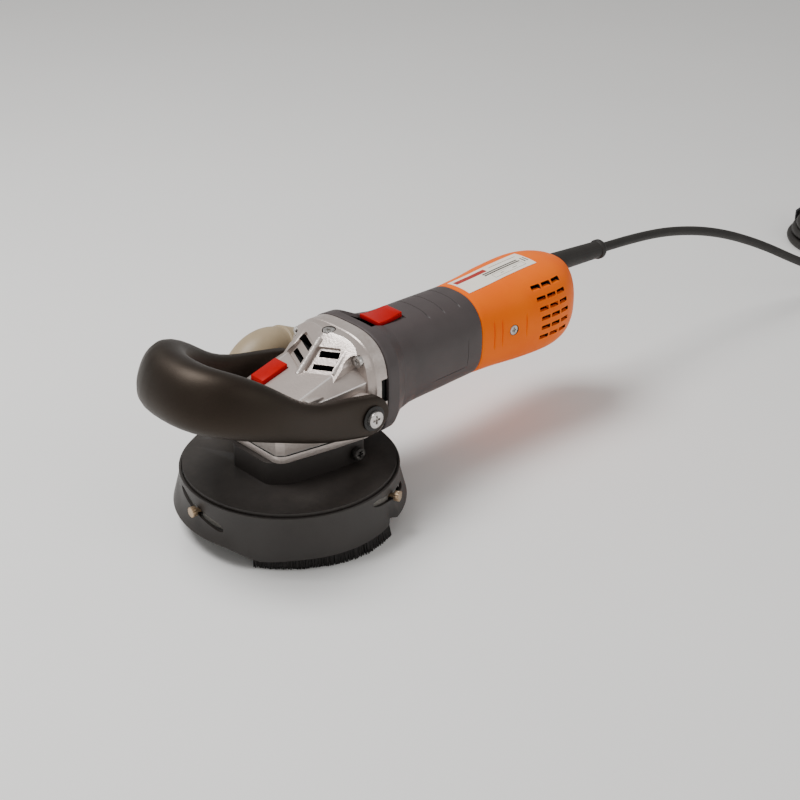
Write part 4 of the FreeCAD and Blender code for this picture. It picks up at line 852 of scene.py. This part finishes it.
head = {
    "nose": ((-33.0, 25.0), (-28.0, 29.0), (12.0, 36.5), (46.0, 41.0)), "base": 70.0,
    "deckHalf": 24.7, "deckHeight": 109.7, "deckSlope": 0.27, "sideHeight": 104.5, "sideSlope": 0.11,
    "foot": (10.5, 0.0, 112.6), "side": (21.0, -26.0, 115.4), "top": (30.0, 0.0, 131.5),
    "dome": ((6.0, 74.0, 79.0, 3.0), (12.0, 76.0, 81.0, 3.0), (44.0, 86.0, 84.0, 3.0)), "crown": (8, 43),
    "flange": (88.0, 85.0, 3.0), "flangeRim": ((45.0, 0.6), (46.0, 0.0), (56.0, 0.0), (56.8, 0.6)),
    "cheek": ((28.6, 50), (60, 50), (60, 127.5), (28.6, 127.5)), "cheekBack": 39.3, "cheekLength": 40.0,
    "frame": ((3.6, 0.8), (26.5, 0.8), (28.5, 20.6), (9.5, 20.6)), "frameDepth": (4.0, 6.2),
    "frameRound": 1.5,
    "windows": ((3.5, 4.2, 8.6, 16.8), (13.2, 5.1, 11.2, 17.2)), "windowDepth": (6.0, 26.0),
    "rib": ((26.5, 1.0, -1.0), (34.0, 26.5, -2.5), 2.6, 2.2),
    "keel": ((-0.6, 0, -2.5), (1.5, 0, 0.5), 3.1, 2.7),
    "step": ((-9.0, 5.0), (-33.5, -27.0), (103.5, 107.6), 0.8),
    "bossRadius": 14.0, "bossReach": 44.7, "bossRoot": 28.0, "pivot": (32.0, 89.0),
    "noseRound": 3.5, "edgeRound": 0.8, "crownRound": 1.0, "lockTop": 130.0,
    "sideScrew": ((17.5, 39.5), 32.5, 123.5, 5.6, 5.0),
    "sideSlot": ((50.5, 57.5), (40.5, 50.0), (90.0, 108.0)),
    "lockGap": (0.5, 0.4, 3.2), "topScrew": (39.2, 134.4, 150.0, 5.0, 5.6),
}


def deckZ(x):
    return head["deckHeight"] + head["deckSlope"] * x


def sideZ(x):
    return head["sideHeight"] + head["sideSlope"] * x


# foot of the prow, then the directions across one panel, up it and out of it
def panelAxes(side):
    foot = Vector(head["foot"])
    edge = Vector((head["side"][0], side * abs(head["side"][1]), head["side"][2]))
    across = (edge - foot).normalized()
    out = across.cross(Vector(head["top"]) - foot).normalized()
    if out.x > 0:
        out = -out
    up = out.cross(across)
    if up.z < 0:
        up = -up
    return foot, across, up, out


def makeNose():
    bm = bmesh.new()
    loops = []
    for x, half in head["nose"]:
        base, deck = head["base"], head["deckHalf"]
        loops.append(addLoop(bm, [(x, -half, base), (x, half, base), (x, half, sideZ(x)),
                                  (x, deck, deckZ(x)), (x, -deck, deckZ(x)), (x, -half, sideZ(x))]))
    joinLoops(bm, loops, True)
    bmesh.ops.dissolve_limit(bm, angle_limit=math.radians(1), verts=bm.verts, edges=bm.edges)
    upright = [e for e in bm.edges if abs(edgeDirection(e).z) > 0.8 and max(v.co.x for v in e.verts) < 0]
    roundEdges(bm, upright, head["noseRound"], 4)
    # the nose's edge bevels get the bright finish, partly wear and partly painted highlight
    roundEdges(bm, sharpEdges(bm, 14), head["edgeRound"], 3, wornHighlightFace, False)
    return bm


def makeDome():
    bm = bmesh.new()
    width, height, power = head["flange"]
    loops = [addLoop(bm, ovalPoints(x, w, h, p, housing["axis"], 96)) for x, w, h, p in head["dome"]]
    for x, inset in head["flangeRim"]:
        rim = ovalPoints(x, width - 2 * inset, height - 2 * inset, power, housing["axis"], 96)
        loops.append(addLoop(bm, rim))
    joinLoops(bm, loops, True)
    for side in (-1, 1):
        foot, across, up, out = panelAxes(side)
        cut = bmesh.ops.bisect_plane(bm, geom=bm.verts[:] + bm.edges[:] + bm.faces[:], plane_co=foot,
                                     plane_no=out, clear_outer=True)["geom_cut"]
        bmesh.ops.edgeloop_fill(bm, edges=[g for g in cut if isinstance(g, bmesh.types.BMEdge)])
    front, back = head["crown"]
    crown = [e for e in sharpEdges(bm, 15) if all(front < v.co.x < back for v in e.verts)]
    # the crown's edge bevels get the same bright finish, partly wear and partly painted highlight
    roundEdges(bm, crown, head["crownRound"], 3, wornHighlightFace)
    return bm


# a closed block between a flat outline and the same outline moved
def wedge(points, deeper):
    bm = bmesh.new()
    joinLoops(bm, [addLoop(bm, points), addLoop(bm, [Vector(p) + deeper for p in points])], True)
    return bm


def makeGearHousing():
    px, pz = head["pivot"]
    cheeks = []
    for side in (-1, 1):
        outline = [(head["cheekBack"], side * y, z) for y, z in head["cheek"]]
        cheeks.append(wedge(outline, Vector((-head["cheekLength"], 0, 0))))
    added = [combined(makeDome(), cheeks)]
    for side in (-1, 1):
        foot, across, up, out = panelAxes(side)
        low, high, lowRadius, highRadius = head["rib"]
        start, end = (foot + across * a + up * b + out * c for a, b, c in (low, high))
        rib, boss = bmesh.new(), bmesh.new()
        cylinder(rib, start, end, lowRadius, highRadius, 16)
        cylinder(boss, (px, side * head["bossRoot"], pz), (px, side * head["bossReach"], pz),
                 head["bossRadius"])
        roundEdges(boss, sharpEdges(boss, 60), head["edgeRound"], 2)
        added += [rib, boss]
    keel, step = bmesh.new(), bmesh.new()
    below, above, lowRadius, highRadius = head["keel"]
    cylinder(keel, Vector(head["foot"]) + Vector(below), Vector(head["top"]) + Vector(above),
             lowRadius, highRadius, 20)
    block(step, *head["step"])
    bm = combined(makeNose(), added + [keel, step], "UNION")
    tools = []
    for side in (-1, 1):
        foot, across, up, out = panelAxes(side)
        ahead, deep = head["frameDepth"]
        panel = wedge([foot + out * ahead + across * a + up * b for a, b in head["frame"]], -out * deep)
        inwardEdges = [e for e in panel.edges if abs(edgeDirection(e).dot(out)) > 0.9]
        roundEdges(panel, inwardEdges, head["frameRound"], 3)
        tools.append(panel)
        ahead, deep = head["windowDepth"]
        for rise, tall, start, length in head["windows"]:
            end, top = start + length, rise + tall
            outline = ((start, rise), (end, rise), (end, top), (start, top))
            window = wedge([foot + out * ahead + across * a + up * b for a, b in outline], -out * deep)
            # the window's faces get near-black painted shade for the inside of the housing
            paintFaces(window.faces, paintedShadeFace)
            tools.append(window)
        (front, back), y, z, frontRadius, backRadius = head["sideScrew"]
        seat, slot = bmesh.new(), bmesh.new()
        cylinder(seat, (front, side * y, z), (back, side * y, z), frontRadius, backRadius, 24)
        along, reach, rise = head["sideSlot"]
        block(slot, along, sideSpan(side, *reach), rise)
        # the slot's faces get painted shade
        paintFaces(slot.faces, paintedShadeFace)
        tools += [seat, slot]
    low, high = corners("lock_button")
    gapX, gapY, gapZ = head["lockGap"]
    pocket, seat = bmesh.new(), bmesh.new()
    block(pocket, (low.x - gapX, high.x + gapX), (low.y - gapY, high.y + gapY), (low.z - gapZ, head["lockTop"]))
    x, bottom, top, lowRadius, highRadius = head["topScrew"]
    cylinder(seat, (x, 0, bottom), (x, 0, top), lowRadius, highRadius, 28)
    # the screw seat's faces get the painted shade of its recess
    paintFaces(seat.faces, paintedShadeFace)
    bm = combined(bm, tools + [pocket, seat])
    finishPiece("gear_head", bm, [finishes["cast_aluminium"], paintedShadeInside, wornHighlightAluminium], "base",
                "gear_housing", 28, turnOut=False)


makeGearHousing()
print("gear head made")


# the bow handle: one tall soft grip that narrows into two flat arms

# stations run from the pivot to the middle of the bow: how far ahead, out and above the pivot,
# height, thickness, upward lean in degrees and turn towards the middle in degrees
grip = {
    "pivot": (32.0, 89.0), "armHalf": 15.5, "armThick": 10.0, "armSide": 50.0,
    "armEnd": (84, 72, 58, 42, 24, 10), "armPower": 5.0, "gripPower": 2.4, "changeOver": 70,
    "stations": [(0, 50, 0, 31, 10, 8, 0), (22, 50, 5, 31, 10.5, 13, 0), (38, 50, 8.5, 29.5, 12, 15, 0),
                 (58, 50, 15, 28, 15, 23, 0), (74, 49.5, 23, 31, 19, 29, 3), (90, 47, 32, 38, 24, 28, 14),
                 (106, 41, 40, 43, 30, 25, 35), (119, 31, 44.5, 46, 34, 24, 58),
                 (126, 17, 46, 46, 36, 24, 80), (127, 0, 46, 46, 36, 24, 90)],
}


def gripLoop(bm, station, side, count=32):
    ahead, out, above, tall, thick, rise, turn = station
    rise, turn = math.radians(rise), math.radians(turn)
    upright = Vector((math.sin(rise), 0, math.cos(rise)))
    forward = Vector((-math.cos(rise), 0, math.sin(rise)))
    along = forward * math.cos(turn) + Vector((0, -side * math.sin(turn), 0))
    across = along.cross(upright)
    centre = Vector((grip["pivot"][0] - ahead, side * out, grip["pivot"][1] + above))
    squarer = max(0.0, 1 - ahead / grip["changeOver"])
    power = grip["gripPower"] + (grip["armPower"] - grip["gripPower"]) * squarer
    points = []
    for i in range(count):
        around = 2 * math.pi * i / count
        a = thick / 2 * side * signedPower(math.cos(around), 2 / power)
        b = tall / 2 * signedPower(math.sin(around), 2 / power)
        points.append(centre + across * a + upright * b)
    return addLoop(bm, points)


def makeHandle():
    bm = bmesh.new()
    loops = []
    for side in (-1, 1):
        part = []
        for degrees in grip["armEnd"]:
            turn = math.radians(degrees)
            behind = -grip["armHalf"] * math.sin(turn)
            part.append((behind, grip["armSide"], behind * 0.1, 2 * grip["armHalf"] * math.cos(turn),
                         grip["armThick"], 8, 0))
        part += grip["stations"] if side < 0 else grip["stations"][:-1]
        made = [gripLoop(bm, station, side) for station in part]
        loops += made if side < 0 else made[::-1]
    joinLoops(bm, loops, True)
    finishPiece("bow_grip", bm, [finishes["soft_grip"]], "handle_body", "bow_handle", 60,
                levels=1)


makeHandle()
print("handle made")


# the skirt: a wall that flares to a lip, lower and straight where it is cut away, with three sloping slots

skirt = {
    "outer": 80.5, "wall": 2.2, "top": 43.5, "steps": 240,
    "flareStart": 37.0, "flare": 5.2, "flareRows": 8, "curveMore": 1.5, "curveNear": (18, 32),
    "lipBottom": 16.0, "straightBottom": 6.5, "bottomRise": 2.5, "riseOver": (-150, -122),
    "blend": (-164.0, -144.0), "end": (-68.0, -65.0),
    "slotHalf": 19.0, "slotSlope": -0.28, "slotTall": 5.8, "slotReach": (72, 90), "slotSteps": 19,
    "ledge": (74.4, 79.9, 15.0, 16.9), "ledgeSteps": 120,
    "biteAngle": -66.0, "biteHeight": 7.5, "bite": 8.0, "biteReach": (79.95, 95),
}


def smoothStep(value, low, high):
    t = min(1.0, max(0.0, (value - low) / (high - low)))
    return t * t * (3 - 2 * t)


# a loop of radius and height pairs, turned to its angle
def turnedLoop(bm, outline, degrees):
    turn = math.radians(degrees)
    return addLoop(bm, [(r * math.cos(turn), r * math.sin(turn), z) for r, z in outline])


def skirtLoop(bm, degrees):
    flared = 1 - smoothStep(degrees, *skirt["blend"]) * (1 - smoothStep(degrees, *skirt["end"]))
    near = min(abs((degrees - a + 180) % 360 - 180) for a in thumbScrews["angles"])
    curve = 1 + skirt["curveMore"] * (1 - smoothStep(near, *skirt["curveNear"]))
    straight = skirt["straightBottom"] + skirt["bottomRise"] * smoothStep(degrees, *skirt["riseOver"])
    bottom = straight + (skirt["lipBottom"] - straight) * flared
    radius, top, start = skirt["outer"], skirt["top"], skirt["flareStart"]
    outer = [(radius - 0.5, top), (radius, top - 0.5)]
    for k in range(skirt["flareRows"] + 1):
        t = k / skirt["flareRows"]
        outer.append((radius + skirt["flare"] * flared * t ** curve, start + (bottom + 0.5 - start) * t))
    outer.append((outer[-1][0] - 0.5, bottom))
    inner = [(r - skirt["wall"] + (1.0 if z in (bottom, top) else 0.0), z) for r, z in reversed(outer)]
    return turnedLoop(bm, outer + inner, degrees)


def makeSkirt():
    bm = bmesh.new()
    steps = skirt["steps"]
    loops = [skirtLoop(bm, -180 + 360 * k / steps) for k in range(steps)]
    joinLoops(bm, loops + loops[:1])
    low, high, bottom, top = skirt["ledge"]
    outline = ((low, bottom), (high, bottom), (high, top), (low, top))
    ledge, steps = bmesh.new(), skirt["ledgeSteps"]
    rows = [turnedLoop(ledge, outline, 360 * (k + 0.5) / steps) for k in range(steps)]
    joinLoops(ledge, rows + rows[:1])
    bm = combined(bm, [ledge], "UNION")
    tools = []
    near, far = skirt["slotReach"]
    last = skirt["slotSteps"]
    for angle in thumbScrews["angles"]:
        tool, rows = bmesh.new(), []
        for k in range(last + 1):
            shift = -skirt["slotHalf"] + 2 * skirt["slotHalf"] * k / last
            z = thumbScrews["height"] + skirt["slotSlope"] * shift
            narrower = 0.45 if k in (0, last) else 0.85 if k in (1, last - 1) else 1.0
            half = skirt["slotTall"] / 2 * narrower
            outline = ((near, z - half), (far, z - half), (far, z + half), (near, z + half))
            rows.append(turnedLoop(tool, outline, angle + shift))
        joinLoops(tool, rows, True)
        tools.append(tool)
    bite = bmesh.new()
    out, rise = outward(skirt["biteAngle"]), Vector((0, 0, skirt["biteHeight"]))
    near, far = skirt["biteReach"]
    cylinder(bite, out * near + rise, out * far + rise, skirt["bite"])
    bm = combined(bm, tools + [bite])
    finishPiece("skirt_shell", bm, [finishes["hood_plastic"]], "skirt_body", "skirt_ring",
                turnOut=False)


makeSkirt()
print("skirt made")


# the brush: tufts of fibre in the skirt's holder; the long splayed tufts at the front also stand in for the
# dark contact shadow under the hood

bristles = {
    "mid": 76.3, "rows": (-1.3, 0.0, 1.3), "pitch": 1.15, "top": 14.9, "shortBottom": 12.0,
    "longFrom": -150.0, "longTo": -66.0, "seed": 7, "splay": 3.4, "splayOver": (-128, -84), "lean": 0.5,
    "fibre": (0.42, 0.62, 5), "core": (75.4, 77.2), "longCore": 2.0, "shortCore": 12.6, "coreStep": 4,
}


def makeBrush():
    dice = random.Random(bristles["seed"])
    bm = bmesh.new()
    for row, shift in enumerate(bristles["rows"]):
        radius = bristles["mid"] + shift
        count = int(2 * math.pi * radius / bristles["pitch"])
        for k in range(count):
            degrees = 360 * (k + 0.5 * (row % 2)) / count - 180
            long = bristles["longFrom"] + 0.4 < degrees < bristles["longTo"] - 0.4
            if not long and (k + row) % 2:
                continue
            out, lean = outward(degrees), Vector()
            foot = Vector((0, 0, bristles["shortBottom"]))
            # the long tufts reach down and splay outward: partly brush, partly a dark stand-in for the contact
            # shadow under the hood
            if long:
                most = bristles["lean"]
                lean = Vector((dice.uniform(-most, most), dice.uniform(-most, most), 0))
                spread = bristles["splay"] * smoothStep(degrees, *bristles["splayOver"])
                lean += out * spread * dice.uniform(0.75, 1.1)
                foot = Vector((0, 0, dice.uniform(0, 0.5)))
            cylinder(bm, out * radius + lean + foot, out * radius + Vector((0, 0, bristles["top"])),
                     *bristles["fibre"])
    inner, outer = bristles["core"]
    high, longStart, longEnd = bristles["top"], bristles["longFrom"] + 1, bristles["longTo"] - 1
    for low, start, end in ((bristles["longCore"], longStart, longEnd),
                            (bristles["shortCore"], longEnd, longStart + 360)):
        core = addLoop(bm, [(inner, 0, low), (outer, 0, low), (outer, 0, high), (inner, 0, high)])
        bmesh.ops.rotate(bm, cent=(0, 0, 0), matrix=Matrix.Rotation(math.radians(start), 3, "Z"),
                         verts=list({v for e in core for v in e.verts}))
        steps = int((end - start) / bristles["coreStep"])
        made = bmesh.ops.spin(bm, geom=core, cent=(0, 0, 0), axis=(0, 0, 1),
                              angle=math.radians(end - start), steps=steps, use_merge=False)
        lastLoop = [g for g in made["geom_last"] if isinstance(g, bmesh.types.BMEdge)]
        for rim in (core, lastLoop):
            bmesh.ops.edgeloop_fill(bm, edges=rim)
    finishPiece("brush_tufts", bm, [finishes["bristle"]], "skirt_body", "brush_ring", 50)


makeBrush()
print("brush made")


# pieces whose shape is right and only need soft edges: name, node, edge width, rounding of upright corners

softEdged = [
    ("hood_shell", "hood_cup", 0.7, 5.0),
    ("gear_lid", "gear_cover_plate", 0.9, 5.0), ("outlet_riser", "dust_riser", 0.5, 0.0),
    ("outlet_elbow", "hose_elbow", 0.8, 0.0), ("cord_sleeve", "strain_relief", 0.6, 0.0),
    ("thumb_screw_set", "hood_thumb_screws", 0.3, 0.0), ("pivot_bolts", "handle_bolts", 0.4, 0.0),
    ("pivot_washers", "handle_washers", 0.25, 0.0), ("cover_screw_pair", "rear_cover_screws", 0.3, 0.0),
    ("head_screw_set", "gear_housing_screws", 0.35, 0.0), ("lid_screws", "gear_cover_screws", 0.25, 0.0),
    ("lock_key", "lock_button", 0.7, 0.0), ("switch_cap", "switch_slider", 1.2, 0.0),
    ("clamp_screw", "hood_clamp_bolt", 0.4, 0.0), ("neck_clamp", "hood_clamp_band", 0.4, 0.0),
    ("wheel_cup", "cup_wheel", 0.6, 0.0), ("wheel_segments", "grinding_segments", 0.3, 0.0),
    ("wheel_flange", "backing_flange", 0.4, 0.0), ("wheel_nut", "lock_nut", 0.5, 0.0),
    ("drive_spindle", "spindle", 0.3, 0.0),
]

for row in softEdged:
    makeSoftEdged(*row)
print("soft-edged pieces made")


# floor and light: each lamp has a place, a size and a power

studio = {
    "floorSize": 8, "floorMiddle": (0.2, 0, 0), "skyColour": (1.0, 0.99, 0.97, 1), "sky": 0.4,
    "aim": (0.1, 0, 0.08),
    "lamps": {"key": ((-0.45, 0.45, 1.5), 0.7, 26), "fill": ((0.6, -1.5, 0.9), 1.0, 4.5),
              "side": ((-1.3, -0.6, 0.8), 0.5, 0.9)},
}


def makeStage():
    bpy.ops.mesh.primitive_plane_add(size=studio["floorSize"], location=studio["floorMiddle"])
    floor = bpy.context.object
    floor.name = "floor"
    pale = makeFinish("paleFloor", (250, 249, 247), (247, 246, 244), 0.7, 0.05, 300, 0.05, 3)
    floor.data.materials.append(pale)
    world = bpy.data.worlds.new("studio")
    scene.world = world
    world.use_nodes = True
    sky = world.node_tree.nodes["Background"]
    sky.inputs["Color"].default_value = studio["skyColour"]
    sky.inputs["Strength"].default_value = studio["sky"]
    for name, (place, size, power) in studio["lamps"].items():
        lamp = bpy.data.objects.new(name, bpy.data.lights.new(name, "AREA"))
        scene.collection.objects.link(lamp)
        lamp.data.size, lamp.data.energy = size, power
        lamp.location = place
        lamp.rotation_mode = "QUATERNION"
        lamp.rotation_quaternion = (Vector(studio["aim"]) - Vector(place)).to_track_quat("-Z", "Y")


makeStage()
print("floor and light made")

print("done")
